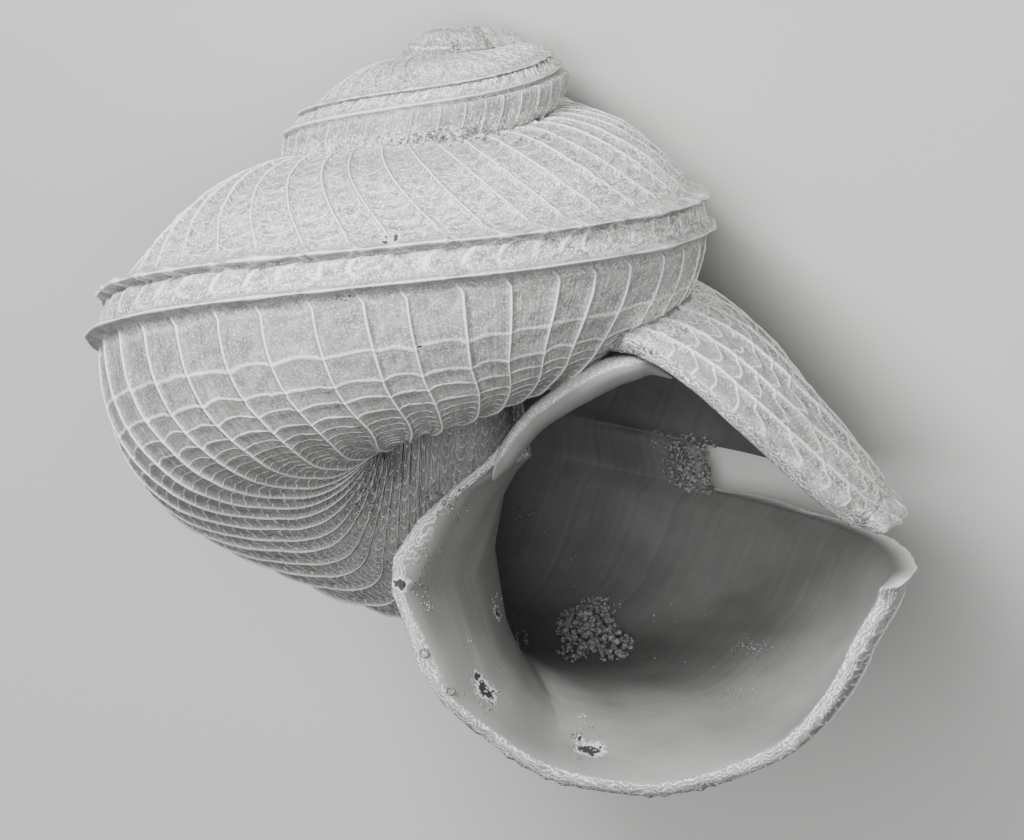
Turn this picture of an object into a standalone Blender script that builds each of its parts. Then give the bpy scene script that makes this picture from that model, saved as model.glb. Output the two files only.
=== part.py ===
"""A little slit shell, anatoma lamellata, lying on its back with its mouth up.

The shell is one coiled tube. It is built as two sewn skins, an outer and an inner one, on a grid:
columns follow growth around the axis, rows run across the tube from the suture, over the shoulder,
the two keels and the base, and up the side of the umbilicus. Each turn is sewn to the one above it,
so the whole shell is one closed solid, open at the mouth and at the slit.

The growing frame has the axis along +Z with the apex up. Turns are counted back from the lip, so
turn 0 is near the lip and turn -1 is one turn earlier.
"""
import math

import bpy
import numpy as np
from mathutils import Matrix, Vector

MM = 0.001

# Driving dimensions, in millimetres and turns
LIP_RADIUS = 2.14            # axis to the lower keel at turn 0
APEX_RADIUS = 0.15           # the first turn never gets narrower than this
GROWTH = (0.40, -0.176)      # the radius is LIP_RADIUS * exp(0.40 t - 0.176 t * t)
FIRST_TURN = -3.0
LAST_TURN = 0.0526
RIBS_PER_TURN = 38
WALL = 0.034                 # shell thickness, as a part of the radius
RIBS_FROM = (-2.3, -1.9)     # the ribs grow to their full height between these turns
KEELS_FROM = (-2.35, -1.85)  # and the keels between these
SLIT_TURNS = 16 / 76         # length of the open slit
HOLLOW_FROM = -1.5           # the tube is filled with shell before this turn
REST_UP = (-0.36, -0.68, -0.64)     # the direction that points up when the shell lies still
REST_FLAT = 0.10             # depth of the flats worn on the keels, where it touches the ground

# Level of the lower keel at each quarter turn, in millimetres along the axis
LEVEL_TURNS = (-3.2, -2.5, -2.25, -2.1, -2.0, -1.75, -1.5, -1.25, -1.0, -0.75, -0.5, -0.25, 0.0, 0.25)
LEVELS = (0.80, 0.765, 0.76, 0.755, 0.74, 0.56, 0.38, 0.21, 0.03, -0.25, -0.575, -1.02, -1.58, -2.16)

# Apex, and the floor of the first turn
APEX = (0.055, -0.02, 0.88)
FIRST_FLOOR = (0.0, 0.0, 0.64)

# Rows across the tube
SUTURE = 0
SHOULDER = (1, 2, 3)
UPPER_FOOT = 4
UPPER_KEEL = 5
BAND = 6
LOWER_KEEL = 7
LOWER_FOOT = 8
SEAM = 9                     # the next turn is sewn on here
BASE_END = 16                # the next turn's umbilical side is sewn on here
LAST_ROW = 23

# Columns along the tube, two for each rib
PER_TURN = 2 * RIBS_PER_TURN
COLUMNS = 2 * round((LAST_TURN - FIRST_TURN) * PER_TURN / 2)
SEAM_LEAD = 6                # the ribs reach the suture this many columns ahead of the keels
HOLLOW_COLUMN = 2 * round((HOLLOW_FROM - FIRST_TURN) * PER_TURN / 2)
SLIT_COLUMN = COLUMNS - round(SLIT_TURNS * PER_TURN)
LIP_COLUMNS = 20             # the mouth opens out over these

# How far each row runs ahead of the keels along the growth lines, in turns
ROW_LEAD = (
    SEAM_LEAD / PER_TURN, 0.068, 0.050, 0.028, 0.008, 0.0, 0.0, 0.0, -0.008, 0.0, 0.002, 0.004,
    0.002, -0.004, -0.012, -0.030, -0.050, -0.054, -0.058, -0.060, -0.058, -0.056, -0.053, -0.050)

# Rib height on each row, as a part of the radius
RIB_HEIGHT = (
    0, 0.007, 0.013, 0.012, 0.004, 0, 0, 0, 0.008, 0.006, 0.008, 0.012, 0.012, 0.012, 0.010, 0.004)

# Edge of the mouth by row, in millimetres: the rim from the upper keel round to the umbilicus
MOUTH_EDGE = {
    4: (1.95, -0.58, -1.29), 5: (2.05, -0.58, -1.36), 7: (2.10, -0.55, -1.61), 8: (2.04, -0.55, -1.74),
    9: (1.94, -0.54, -1.92), 10: (1.90, -0.53, -2.02), 11: (1.80, -0.52, -2.19), 12: (1.61, -0.48, -2.40),
    13: (1.28, -0.44, -2.55), 14: (0.94, -0.41, -2.61), 15: (0.50, -0.39, -2.54), 16: (0.18, -0.38, -2.34),
    17: (-0.05, -0.39, -2.14), 18: (-0.17, -0.40, -1.84), 19: (-0.24, -0.42, -1.60),
    20: (-0.08, -0.45, -1.33), 21: (0.16, -0.48, -1.12), 22: (0.30, -0.46, -0.94)}

# Keels and the slit band between them, as parts of the radius
KEEL_GAP = 0.118             # the upper keel is this far above the lower one
KEEL_BACK = 0.060            # and this far inside it
KEEL_BACK_EARLY = 0.06       # and that much further before turn -1
KEEL_OUT = 0.035             # how far the lower keel stands out
UPPER_KEEL_OUT = 0.026
BAND_IN = 0.030              # how far the band lies inside the line between the keels
FOOT_IN, FOOT_UP = 0.045, 0.025
LOWER_FOOT_IN, LOWER_FOOT_DOWN = 0.055, 0.045

# Base of the tube: a squarish oval, as parts of the radius
BASE_CENTRE = -0.55
BASE_OUTER = 0.49
BASE_INNER = 0.29
BASE_DEPTH = 0.465
LIP_BASE_RISE = 0.025        # the base gets this much flatter towards the lip
BASE_POWER = 2.4
CORNER_ANGLE = 150           # degrees around the oval to the corner of the umbilicus
UMBILICUS_ANGLE = 30         # degrees more to the umbilicus wall
UMBILICUS_ROW_RISE = 0.055   # height of each row of that wall
LIP_SEAT = 0.14              # the mouth is joined on over this width
OUTER_CURVE, INNER_CURVE = 0.45, 0.36   # widths of the oval used to turn lengths into angles

# Arch of the shoulder over its chord
ARCH_TURNS = (-1.3, -1.0, -0.75, -0.5, -0.25, 0.0)
ARCHES = (0.34, 0.58, 0.42, 0.34, 0.40, 0.50)
FIRST_ARCH = 0.36
SHOULDER_SHARES = (0.18, 0.46, 0.74)    # where the shoulder rows lie along the chord


def ease(x, start=0.0, end=1.0):
    """0 to 1 with a soft start and end, as x goes from start to end."""
    x = min(1.0, max(0.0, (x - start) / (end - start)))
    return x * x * (3 - 2 * x)


def radius(turn):
    """Distance of the lower keel from the axis."""
    grown = LIP_RADIUS * math.exp(GROWTH[0] * turn + GROWTH[1] * turn * turn)
    return (grown**4 + APEX_RADIUS**4) ** 0.25


LEVEL_SLOPES = np.gradient(LEVELS, LEVEL_TURNS)


def level(turn):
    """Height of the lower keel, a smooth curve through its quarter-turn levels."""
    k = int(np.clip(np.searchsorted(LEVEL_TURNS, turn) - 1, 0, len(LEVELS) - 2))
    step = LEVEL_TURNS[k + 1] - LEVEL_TURNS[k]
    u = (turn - LEVEL_TURNS[k]) / step
    start = (1 + 2 * u) * (1 - u) ** 2 * LEVELS[k] + u * (1 - u) ** 2 * step * LEVEL_SLOPES[k]
    end = u * u * (3 - 2 * u) * LEVELS[k + 1] + u * u * (u - 1) * step * LEVEL_SLOPES[k + 1]
    return start + end


def seam_depth(turn):
    """How far below the lower keel the next turn is sewn on, as a part of the radius."""
    turns = (-3.0, -2.5, -2.25, -2.0, -1.75, -1.5, -1.25, -1.0, -0.85, -0.5)
    depths = (0.10, 0.14, 0.30, 0.44, 0.31, 0.17, 0.20, 0.25, 0.29, 0.27)
    return float(np.interp(turn, turns, depths))


def wall_flare(turn):
    """How far the wall under the keels leans out on the early turns."""
    return float(np.interp(turn, (-2.5, -2.0, -1.5, -1.0), (0.0, 0.17, 0.06, 0.0)))


def base_depth(turn):
    return BASE_DEPTH - LIP_BASE_RISE * ease(turn, -0.35, 0.0)


def base_point(angle, turn, inset):
    """A point of the base, out and up from the lower keel, as parts of the radius."""
    outer = (BASE_OUTER if angle < math.pi / 2 else BASE_INNER) - inset
    deep = base_depth(turn) - inset
    across = math.copysign(abs(math.cos(angle)) ** (2 / BASE_POWER), math.cos(angle))
    down = abs(math.sin(angle)) ** (2 / BASE_POWER)
    return np.array([BASE_CENTRE + outer * across, -deep * down])


def base_angles(turn):
    """Angle on the base oval of each row from the seam to the umbilicus."""
    start = math.asin(min(1.0, (seam_depth(turn) / base_depth(turn)) ** (BASE_POWER / 2)))
    end = math.radians(CORNER_ANGLE)
    free = ease(turn, LAST_TURN - 1.0, LAST_TURN - 0.8)
    seat = WALL * radius(turn + 1) / radius(turn) * (1 - free) + LIP_SEAT * free
    first, last = start + seat / OUTER_CURVE, end - seat / INNER_CURVE
    angles = {SEAM: start, BASE_END: end}
    for row in range(SEAM + 1, BASE_END):
        angles[row] = first + (last - first) * (row - SEAM - 1) / (BASE_END - SEAM - 2)
    for row in range(BASE_END + 1, LAST_ROW):
        angles[row] = end + math.radians(UMBILICUS_ANGLE) * min(1.0, (row - BASE_END) / 3)
    return angles


def section(turn, inset=0.0):
    """Rows from the foot of the upper keel inward, as (distance from axis, height).

    With an inset it gives the inner skin, which has no keels.
    """
    keels = ease(turn, *KEELS_FROM)
    upper = np.array([-KEEL_BACK - KEEL_BACK_EARLY * ease(-turn, 1.0, 1.6), KEEL_GAP])
    inward = np.array([-inset, 0.0])
    rows = {UPPER_FOOT: upper + (-FOOT_IN, FOOT_UP) - np.array([0.7, 0.7]) * inset}
    if inset:
        rows[UPPER_KEEL] = upper + inward - (BAND_IN, 0.0)
        rows[LOWER_KEEL] = inward - (KEEL_OUT, 0.0)
    else:
        rows[UPPER_KEEL] = upper + (UPPER_KEEL_OUT * keels, 0.0)
        rows[LOWER_KEEL] = np.array([-KEEL_OUT * (1 - keels), 0.0])
    rows[BAND] = upper * 0.5 - (BAND_IN, 0.0) + inward
    rows[LOWER_FOOT] = np.array([0.6 * wall_flare(turn) - LOWER_FOOT_IN, -LOWER_FOOT_DOWN]) + inward
    for row, angle in base_angles(turn).items():
        point = base_point(angle, turn, inset)
        if row <= SEAM + 1:
            point[0] += wall_flare(turn)
        point[1] += UMBILICUS_ROW_RISE * max(0, row - BASE_END - 3)
        rows[row] = point
    size, height = radius(turn), level(turn)
    return {row: (size * (1 + p[0]), height + size * p[1]) for row, p in rows.items()}


def around(distance, height, turn):
    """The point at this distance and height, this many turns around the axis."""
    angle = 2 * math.pi * turn
    return np.array([distance * math.cos(angle), -distance * math.sin(angle), height])


def turn_of(column):
    return FIRST_TURN + column / PER_TURN


def sewn_to(column, row):
    """The grid place that this one shares: the suture and the umbilical end lie on the turn above."""
    if row == SUTURE:
        above = column - PER_TURN + SEAM_LEAD
        return (above, SEAM) if above >= 0 else (0, SUTURE)
    if row == LAST_ROW:
        above = column - PER_TURN
        return (above, BASE_END) if above >= 0 else (0, LAST_ROW)
    return column, row


def smooth_skin():
    """The outer skin without ribs."""
    skin = np.zeros((COLUMNS + 1, LAST_ROW + 1, 3))
    for column in range(COLUMNS + 1):
        turn = turn_of(column)
        rows = section(turn)
        for row in range(UPPER_FOOT, LAST_ROW):
            skin[column, row] = around(*rows[row], turn + ROW_LEAD[row])
        if column == 0:
            skin[0, SUTURE], skin[0, LAST_ROW] = APEX, FIRST_FLOOR
        skin[column, SUTURE] = skin[sewn_to(column, SUTURE)]
        skin[column, LAST_ROW] = skin[sewn_to(column, LAST_ROW)]
        raise_shoulder(skin, column, rows[UPPER_FOOT])
    open_mouth(skin)
    return skin


def raise_shoulder(skin, column, foot):
    """Arch the shoulder rows between the suture and the foot of the upper keel."""
    turn = turn_of(column)
    x, y, height = skin[column, SUTURE]
    start = np.array([math.hypot(x, y), height])
    chord = np.array(foot) - start
    outward = np.array([-chord[1], chord[0]])
    for row, share in zip(SHOULDER, SHOULDER_SHARES):
        bulge = np.interp(turn, ARCH_TURNS, ARCHES) * share**0.9 * (1 - share) ** 1.3
        if column < PER_TURN - SEAM_LEAD:
            bulge = FIRST_ARCH * share**0.8 * (1 - share) ** 0.8
        point = start + chord * share + outward * bulge
        skin[column, row] = around(point[0], point[1], turn + ROW_LEAD[row])


def open_mouth(skin):
    """Lead the last columns to the edge of the mouth; the umbilical side folds out as a lip plate."""
    shift = {row: np.array(point) - skin[COLUMNS, row] for row, point in MOUTH_EDGE.items()}
    shift[BAND] = (shift[UPPER_KEEL] + shift[LOWER_KEEL]) / 2
    for column in range(COLUMNS - LIP_COLUMNS, COLUMNS + 1):
        near = 1 - (COLUMNS - column) / LIP_COLUMNS
        plate = max(0.0, (near - 0.3) / 0.7) ** 2.2
        for row, move in shift.items():
            skin[column, row] += move * (plate if row >= BASE_END - 1 else ease(near))


def outward(skin, column, row):
    """Unit normal of a skin, pointing out of the tube."""
    before, after = max(column - 1, 0), min(column + 1, COLUMNS)
    along = skin[after, row] - skin[before, row]
    across = skin[column, row + 1] - skin[column, row - 1]
    normal = np.cross(along, across)
    return normal / np.linalg.norm(normal)


def ribbed_skin(bare):
    """Raise a rib on every second column."""
    skin = bare.copy()
    for column in range(1, COLUMNS, 2):
        turn = turn_of(column)
        grown = ease(turn, *RIBS_FROM)
        for row, part in enumerate(RIB_HEIGHT):
            if part:
                skin[column, row] += outward(bare, column, row) * part * radius(turn) * grown
    return skin


def inner_skin(bare):
    """The inner skin on every second column, set in by the wall."""
    skin = np.zeros_like(bare)
    for column in range(HOLLOW_COLUMN, COLUMNS + 1, 2):
        turn = turn_of(column)
        full, inset = section(turn), section(turn, WALL)
        for row in range(1, LAST_ROW):
            if UPPER_FOOT <= row <= LOWER_FOOT:
                lead = turn + ROW_LEAD[row]
                step = around(*inset[row], lead) - around(*full[row], lead)
            else:
                step = -outward(bare, column, row) * WALL * radius(turn)
            skin[column, row] = bare[column, row] + step
    return skin


class Sewing:
    """Points and triangles of the two skins, with shared points where turns meet."""

    def __init__(self, outer, inner):
        self.skins = {"outer": outer, "inner": inner}
        self.points = []
        self.faces = []
        self.index = {}

    def point(self, skin, column, row):
        if skin == "inner" and row in (SUTURE, LAST_ROW):
            above = column - PER_TURN + (SEAM_LEAD if row == SUTURE else 0)
            column, row, skin = above, (SEAM + 1 if row == SUTURE else BASE_END - 1), "outer"
        elif skin == "outer":
            while (column, row) != sewn_to(column, row):
                column, row = sewn_to(column, row)
        place = (skin, column, row)
        if place not in self.index:
            self.index[place] = len(self.points)
            self.points.append(self.skins[skin][column, row])
        return self.index[place]

    def outer(self, column, row):
        return self.point("outer", column, row)

    def inner(self, column, row):
        return self.point("inner", column, row)

    def triangle(self, a, b, c):
        if len({a, b, c}) == 3:
            self.faces.append((a, b, c))

    def patch(self, a, b, c, d):
        """Four corners, cut along the shorter diagonal."""
        def span(p, q):
            return np.linalg.norm(self.points[p] - self.points[q])
        if len({a, b, c, d}) == 4 and span(a, c) > span(b, d):
            self.triangle(a, b, d)
            self.triangle(b, c, d)
        else:
            self.triangle(a, b, c)
            self.triangle(a, c, d)

    def strip(self, columns, rows, skin, step=1):
        """Patches of one skin. The inner skin faces the other way."""
        for column in columns:
            for row in rows:
                if column >= SLIT_COLUMN and row in (UPPER_KEEL, BAND):
                    continue
                corners = [self.point(skin, *place) for place in (
                    (column, row), (column + step, row), (column + step, row + 1), (column, row + 1))]
                if skin == "inner":
                    corners.reverse()
                self.patch(*corners)

    def fan(self, fine, coarse, flip=False):
        """Join three points on one edge to two on the other."""
        a, middle, b = fine
        d, c = coarse
        for corners in ((a, middle, d), (middle, c, d), (middle, b, c)):
            self.triangle(*(reversed(corners) if flip else corners))


def sew(outer, inner):
    """Join the skins, the mouth's edge, the slit's edges and the closed ends."""
    work = Sewing(outer, inner)
    covered_seam = COLUMNS - PER_TURN + SEAM_LEAD
    covered_base = COLUMNS - PER_TURN
    hidden_start = HOLLOW_COLUMN - PER_TURN + SEAM_LEAD

    # Outer skin: the shoulder and keels all round, the base on the last turn, the umbilical side
    work.strip(range(COLUMNS), range(SUTURE, SEAM), "outer")
    work.strip(range(covered_seam, COLUMNS), range(SEAM, BASE_END - 1), "outer")
    for column in range(covered_seam, COLUMNS, 2):
        fine = [work.outer(column + k, BASE_END - 1) for k in range(3)]
        work.fan(fine, (work.outer(column, BASE_END), work.outer(column + 2, BASE_END)))
    work.strip(range(covered_base, covered_seam, 2), [BASE_END - 1], "outer", step=2)
    work.strip(range(0, COLUMNS, 2), range(BASE_END, LAST_ROW), "outer", step=2)

    # Inner skin, and the wall that one turn shares with the hollow of the next
    work.strip(range(HOLLOW_COLUMN, COLUMNS, 2), range(LAST_ROW), "inner", step=2)
    work.strip(range(hidden_start, covered_seam, 2), range(SEAM + 1, BASE_END - 1), "outer", step=2)

    # Closed inner end of the hollow
    ring = [work.inner(HOLLOW_COLUMN, row) for row in range(LAST_ROW + 1)]
    ring += [work.outer(c, BASE_END - 1) for c in range(HOLLOW_COLUMN - PER_TURN + 2, hidden_start + 1, 2)]
    ring += [work.outer(hidden_start, row) for row in range(BASE_END - 2, SEAM + 1, -1)]
    middle = len(work.points)
    work.points.append(np.mean([work.points[k] for k in ring], axis=0))
    for a, b in zip(ring, ring[1:] + ring[:1]):
        work.triangle(middle, b, a)

    # Edge of the mouth, on both sides of the slit
    for row in range(LAST_ROW):
        if row not in (UPPER_KEEL, BAND):
            work.patch(work.outer(COLUMNS, row), work.inner(COLUMNS, row),
                       work.inner(COLUMNS, row + 1), work.outer(COLUMNS, row + 1))

    # Edges of the slit and its closed end
    for row, flip in ((UPPER_KEEL, False), (LOWER_KEEL, True)):
        for column in range(SLIT_COLUMN, COLUMNS, 2):
            fine = [work.outer(column + k, row) for k in range(3)]
            work.fan(fine, (work.inner(column, row), work.inner(column + 2, row)), flip)
    for row in (UPPER_KEEL, BAND):
        work.patch(work.outer(SLIT_COLUMN, row), work.inner(SLIT_COLUMN, row),
                   work.inner(SLIT_COLUMN, row + 1), work.outer(SLIT_COLUMN, row + 1))

    # Start of the coil, above and below
    for row in range(1, SEAM):
        work.triangle(work.outer(0, SUTURE), work.outer(0, row), work.outer(0, row + 1))
    for row in range(BASE_END, LAST_ROW - 1):
        work.triangle(work.outer(0, LAST_ROW), work.outer(0, row), work.outer(0, row + 1))
    return work


def resting_matrix(points):
    """Turn the shell to the way it lies, with the middle of its box over the origin."""
    up = Vector(REST_UP).normalized()
    right = (Vector((1, 0, 0)) - up * up.x).normalized()
    turned = Matrix((right, up.cross(right), up))
    placed = np.array(points) @ np.array(turned).T
    low, high = placed.min(axis=0), placed.max(axis=0)
    move = Vector((-(low[0] + high[0]) / 2, -(low[1] + high[1]) / 2, -low[2] - REST_FLAT * MM))
    return Matrix.Translation(move) @ turned.to_4x4()


def shell_material():
    material = bpy.data.materials.new("matt_shell_lime")
    material.use_nodes = True
    surface = material.node_tree.nodes["Principled BSDF"]
    surface.inputs["Base Color"].default_value = (0.42, 0.42, 0.42, 1.0)
    surface.inputs["Roughness"].default_value = 0.6
    surface.inputs["Metallic"].default_value = 0.0
    return material


def make_shell():
    bare = smooth_skin()
    work = sew(ribbed_skin(bare), inner_skin(bare))
    points = [tuple(point * MM) for point in work.points]
    mesh = bpy.data.meshes.new("shell")
    mesh.from_pydata(points, [], work.faces)
    mesh.validate()
    mesh.materials.append(shell_material())
    shell = bpy.data.objects.new("shell", mesh)
    bpy.context.scene.collection.objects.link(shell)
    shell.matrix_world = resting_matrix(points)
    return shell


def wear_flat(shell):
    """Wear the keels flat where the shell lies on them, at height 0."""
    side = 8 * MM
    bpy.ops.mesh.primitive_cube_add(size=side, location=(0, 0, -side / 2))
    cutter = bpy.context.object
    cutter.name = "floor_cutter"
    cutter.hide_render = True
    cutter.display_type = "WIRE"
    cut = shell.modifiers.new("rest flat", "BOOLEAN")
    cut.operation = "DIFFERENCE"
    cut.solver = "EXACT"
    cut.object = cutter


for old in list(bpy.data.objects):
    bpy.data.objects.remove(old)
wear_flat(make_shell())
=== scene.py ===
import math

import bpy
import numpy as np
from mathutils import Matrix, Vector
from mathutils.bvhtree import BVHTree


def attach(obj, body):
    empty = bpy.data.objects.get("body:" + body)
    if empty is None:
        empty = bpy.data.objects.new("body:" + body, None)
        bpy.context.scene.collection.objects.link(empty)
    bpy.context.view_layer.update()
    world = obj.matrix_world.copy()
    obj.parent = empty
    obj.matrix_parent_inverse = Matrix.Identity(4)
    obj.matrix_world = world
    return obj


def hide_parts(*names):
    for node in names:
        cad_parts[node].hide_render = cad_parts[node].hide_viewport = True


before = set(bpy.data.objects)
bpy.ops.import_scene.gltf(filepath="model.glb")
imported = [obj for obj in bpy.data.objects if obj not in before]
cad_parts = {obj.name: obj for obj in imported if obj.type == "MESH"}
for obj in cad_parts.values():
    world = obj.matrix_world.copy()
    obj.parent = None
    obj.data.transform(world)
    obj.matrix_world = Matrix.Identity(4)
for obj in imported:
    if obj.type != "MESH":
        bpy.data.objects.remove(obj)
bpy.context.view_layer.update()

# %% [markdown]
# # A little slit shell
#
# This is the empty shell of a small sea snail, not quite four millimetres across. A snail builds its
# shell by adding lime at the lip of one coiled tube, so the whole form follows a few growth laws. The
# shell lies on its side with the mouth up, and the camera looks down on it.
#
# The laws of growth give a smooth skin, and Geometry Nodes carve the ribs and threads that repeat along
# it. A material gives the matt lime its colour, then come the thick inner lip and the dried mud, and a
# soft studio light shows the relief. Lengths are in millimetres until the last moment.

MM = 0.001


# %% [markdown]
# ## The laws of growth
#
# Each turn of the tube is wider than the one before, and its distance from the axis follows an
# exponential curve that bends a little. A table with one height for each quarter turn says how the
# spire drops, and a smooth curve runs through it. The turns are counted back from the lip, which is
# turn 0. It could also be modelled by hand along a spiral curve, but then no line of the sculpture
# would follow the growth, and here nearly all of them do.

# %% Size and drop of the coil
LIP_RADIUS = 2.14
APEX_RADIUS = 0.15
GROWTH = (0.40, -0.176)
FIRST_TURN = -3.0
LEVEL_TURNS = (-3.2, -2.5, -2.25, -2.1, -2.0, -1.75, -1.5, -1.25, -1.0, -0.75, -0.5, -0.25, 0.0, 0.25)
LEVELS = (0.80, 0.765, 0.76, 0.755, 0.74, 0.56, 0.38, 0.21, 0.03, -0.25, -0.575, -1.02, -1.58, -2.16)


def ease(x):
    """0 to 1 with a soft start and end."""
    x = np.clip(x, 0.0, 1.0)
    return x * x * (3 - 2 * x)


def smooth_table(stops, values, x):
    """A smooth curve through a table, read at x. The values may be points."""
    stops, values = np.array(stops, float), np.array(values, float)
    slopes = np.gradient(values, stops, axis=0)
    x = np.asarray(x, float)
    k = np.clip(np.searchsorted(stops, x) - 1, 0, len(stops) - 2)
    step = stops[k + 1] - stops[k]
    u = np.clip((x - stops[k]) / step, 0, 1)
    if values.ndim > 1:
        u, step = u[..., None], step[..., None]
    start = (1 + 2 * u) * (1 - u) ** 2 * values[k] + u * (1 - u) ** 2 * step * slopes[k]
    end = u * u * (3 - 2 * u) * values[k + 1] + u * u * (u - 1) * step * slopes[k + 1]
    return start + end


def radius(turn):
    """Distance of the lower keel from the axis."""
    grown = LIP_RADIUS * np.exp(GROWTH[0] * turn + GROWTH[1] * turn * turn)
    return (grown**4 + APEX_RADIUS**4) ** 0.25


def level(turn):
    """Height of the lower keel."""
    return smooth_table(LEVEL_TURNS, LEVELS, turn)


def around(distance, height, turn):
    """Points at this distance and height, this many turns around the axis."""
    angle = 2 * math.pi * turn
    return np.stack([distance * np.cos(angle), -distance * np.sin(angle), height], axis=-1)


print("keel radius at each turn", [round(float(radius(t)), 2) for t in (-3, -2, -1, 0)])


# %% [markdown]
# ## Stations across the tube
#
# A cut across the tube runs from the suture, where it leans on the turn above, over the shoulder to a
# band between two thin keels, down the wall, round the base and up into the umbilicus, the hollow in
# the middle of the coil. Stations number that way: 0 is the suture, 4 the foot of the upper keel, 5 its
# edge, 7 the edge of the lower keel, 9 the line where the next turn is joined on, 16 the corner of the
# umbilicus and 23 its inner end.

# %% The keels and the band between them
SUTURE, FOOT, UPPER_KEEL, LOWER_KEEL, LOWER_FOOT, SEAM, SEAT, CORNER, END = 0, 4, 5, 7, 8, 9, 15, 16, 23
KEEL_GAP = 0.118
WALL = 0.034
# Station, share of the way up to the upper keel, then how far out and up, as parts of the radius,
# first without the keel's fin and then with it
KEEL_PROFILE = (
    (4.00, 1.0, -0.045, 0.025, -0.045, 0.025),
    (4.40, 1.0, -0.026, 0.017, -0.028, 0.012),
    (4.75, 1.0, -0.012, 0.010, 0.004, 0.005),
    (4.94, 1.0, -0.004, 0.004, 0.024, 0.003),
    (5.00, 1.0, 0.000, 0.000, 0.028, -0.001),
    (5.08, 1.0, -0.003, -0.004, 0.022, -0.006),
    (5.30, 1.0, -0.006, -0.010, -0.012, -0.010),
    (5.50, 1.0, -0.010, -0.022, -0.018, -0.022),
    (5.75, 0.72, -0.020, 0.000, -0.018, 0.000),
    (6.00, 0.5, -0.026, 0.000, -0.022, 0.000),
    (6.50, 0.25, -0.030, 0.000, -0.026, 0.000),
    (6.75, 0.0, -0.036, 0.014, -0.036, 0.016),
    (6.92, 0.0, -0.036, 0.006, -0.006, 0.006),
    (7.00, 0.0, -0.035, 0.000, 0.000, 0.001),
    (7.08, 0.0, -0.037, -0.006, -0.006, -0.005),
    (7.40, 0.0, -0.044, -0.020, -0.044, -0.018),
    (8.00, 0.0, -0.055, -0.045, -0.055, -0.045))


def keel_part(turn, station, fins=1.0):
    """The section between the feet of the two keels, as (out, up) parts of the radius."""
    table = np.array(KEEL_PROFILE)
    share, out, up, fin_out, fin_up = (np.interp(station, table[:, 0], table[:, k]) for k in range(1, 6))
    grown = fins * ease((turn + 2.35) / 0.5)
    reach = -0.060 - 0.06 * ease((-1.0 - turn) / 0.6)
    return (share * reach + out + (fin_out - out) * grown, share * KEEL_GAP + up + (fin_up - up) * grown)


# %% The wall, the base and the side of the umbilicus
SEAM_TURNS = (-3.0, -2.5, -2.25, -2.0, -1.75, -1.5, -1.25, -1.0, -0.85, -0.5)
SEAM_DEPTHS = (0.10, 0.14, 0.30, 0.44, 0.31, 0.17, 0.20, 0.25, 0.29, 0.27)
RIBS_PER_TURN = 38
RIBS = 116
LAST_TURN = FIRST_TURN + RIBS / RIBS_PER_TURN
BASE_CENTRE, BASE_OUTER, BASE_INNER, BASE_POWER = -0.55, 0.49, 0.29, 2.4
CORNER_ANGLE = math.radians(150)


def flare(turn):
    """How much the wall bulges on the turns of the spire, as a part of the radius."""
    return np.interp(turn, (-2.5, -2.0, -1.5, -1.0), (0.0, 0.17, 0.06, 0.0))


def base_part(turn, station):
    """The section from the foot of the lower keel inward, a squarish oval."""
    full = 0.465 - 0.025 * ease((turn + 0.35) / 0.35)
    seam = np.arcsin(np.minimum(1, (np.interp(turn, SEAM_TURNS, SEAM_DEPTHS) / full) ** (BASE_POWER / 2)))
    foot = np.arcsin((0.045 / full) ** (BASE_POWER / 2))
    free = ease((turn - LAST_TURN + 1.0) / 0.2)
    seat = WALL * radius(turn + 1) / radius(turn) * (1 - free) + 0.14 * free
    first, last = seam + seat / 0.45, CORNER_ANGLE - seat / 0.36
    if station <= SEAM:
        angle = foot + (seam - foot) * (station - LOWER_FOOT)
    elif station <= SEAM + 1:
        angle = seam + (first - seam) * (station - SEAM)
    elif station <= SEAT:
        angle = first + (last - first) * (station - SEAM - 1) / (SEAT - SEAM - 1)
    elif station <= CORNER:
        angle = last + (CORNER_ANGLE - last) * (station - SEAT)
    else:
        angle = CORNER_ANGLE + math.radians(30) * min(1.0, (station - CORNER) / 3)
    outer = np.where(angle < math.pi / 2, BASE_OUTER, BASE_INNER)
    across = np.sign(np.cos(angle)) * np.abs(np.cos(angle)) ** (2 / BASE_POWER)
    lean = flare(turn) * np.interp(station, (8, 9, 10, 11), (0.6, 1.0, 1.0, 0.0))
    blend = max(0.0, SEAM - station) * 0.006
    down = full * np.abs(np.sin(angle)) ** (2 / BASE_POWER)
    return (BASE_CENTRE + outer * across + lean + blend,
            -down + 0.055 * max(0.0, station - CORNER - 3))


print("section at the lip:", [tuple(round(float(v), 3) for v in base_part(0.0, s)) for s in (9, 12, 16)])


# %% [markdown]
# ## A fine grid of points
#
# The skin is a grid: columns follow the growth, and rows are the stations. There are ten columns for
# each rib, crowded at its crest, because the lamellae are thin: about five hundredths of a millimetre.
# A small, seeded shift makes no two ribs quite alike. The early turns and the inside get fewer rows,
# since they are small or smooth.

# %% Columns
PER_TURN = 10 * RIBS_PER_TURN
COLUMNS = 10 * RIBS
SEAM_BACK = PER_TURN - 30            # the suture lies on the seam this many columns back
HOLLOW_COLUMN = 800                  # the tube is filled with lime before this column
SLIT_COLUMN = 1084
EARLY_COLUMN = 350                   # every second column is left out before this one
MIDDLE_COLUMN = 780
OPEN_SEAM = COLUMNS - SEAM_BACK      # the base shows from this column on
OPEN_CORNER = COLUMNS - PER_TURN
CREST_SPREAD = np.array([-0.5, -0.32, -0.18, -0.09, -0.04, 0.0, 0.04, 0.09, 0.18, 0.32])

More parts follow.
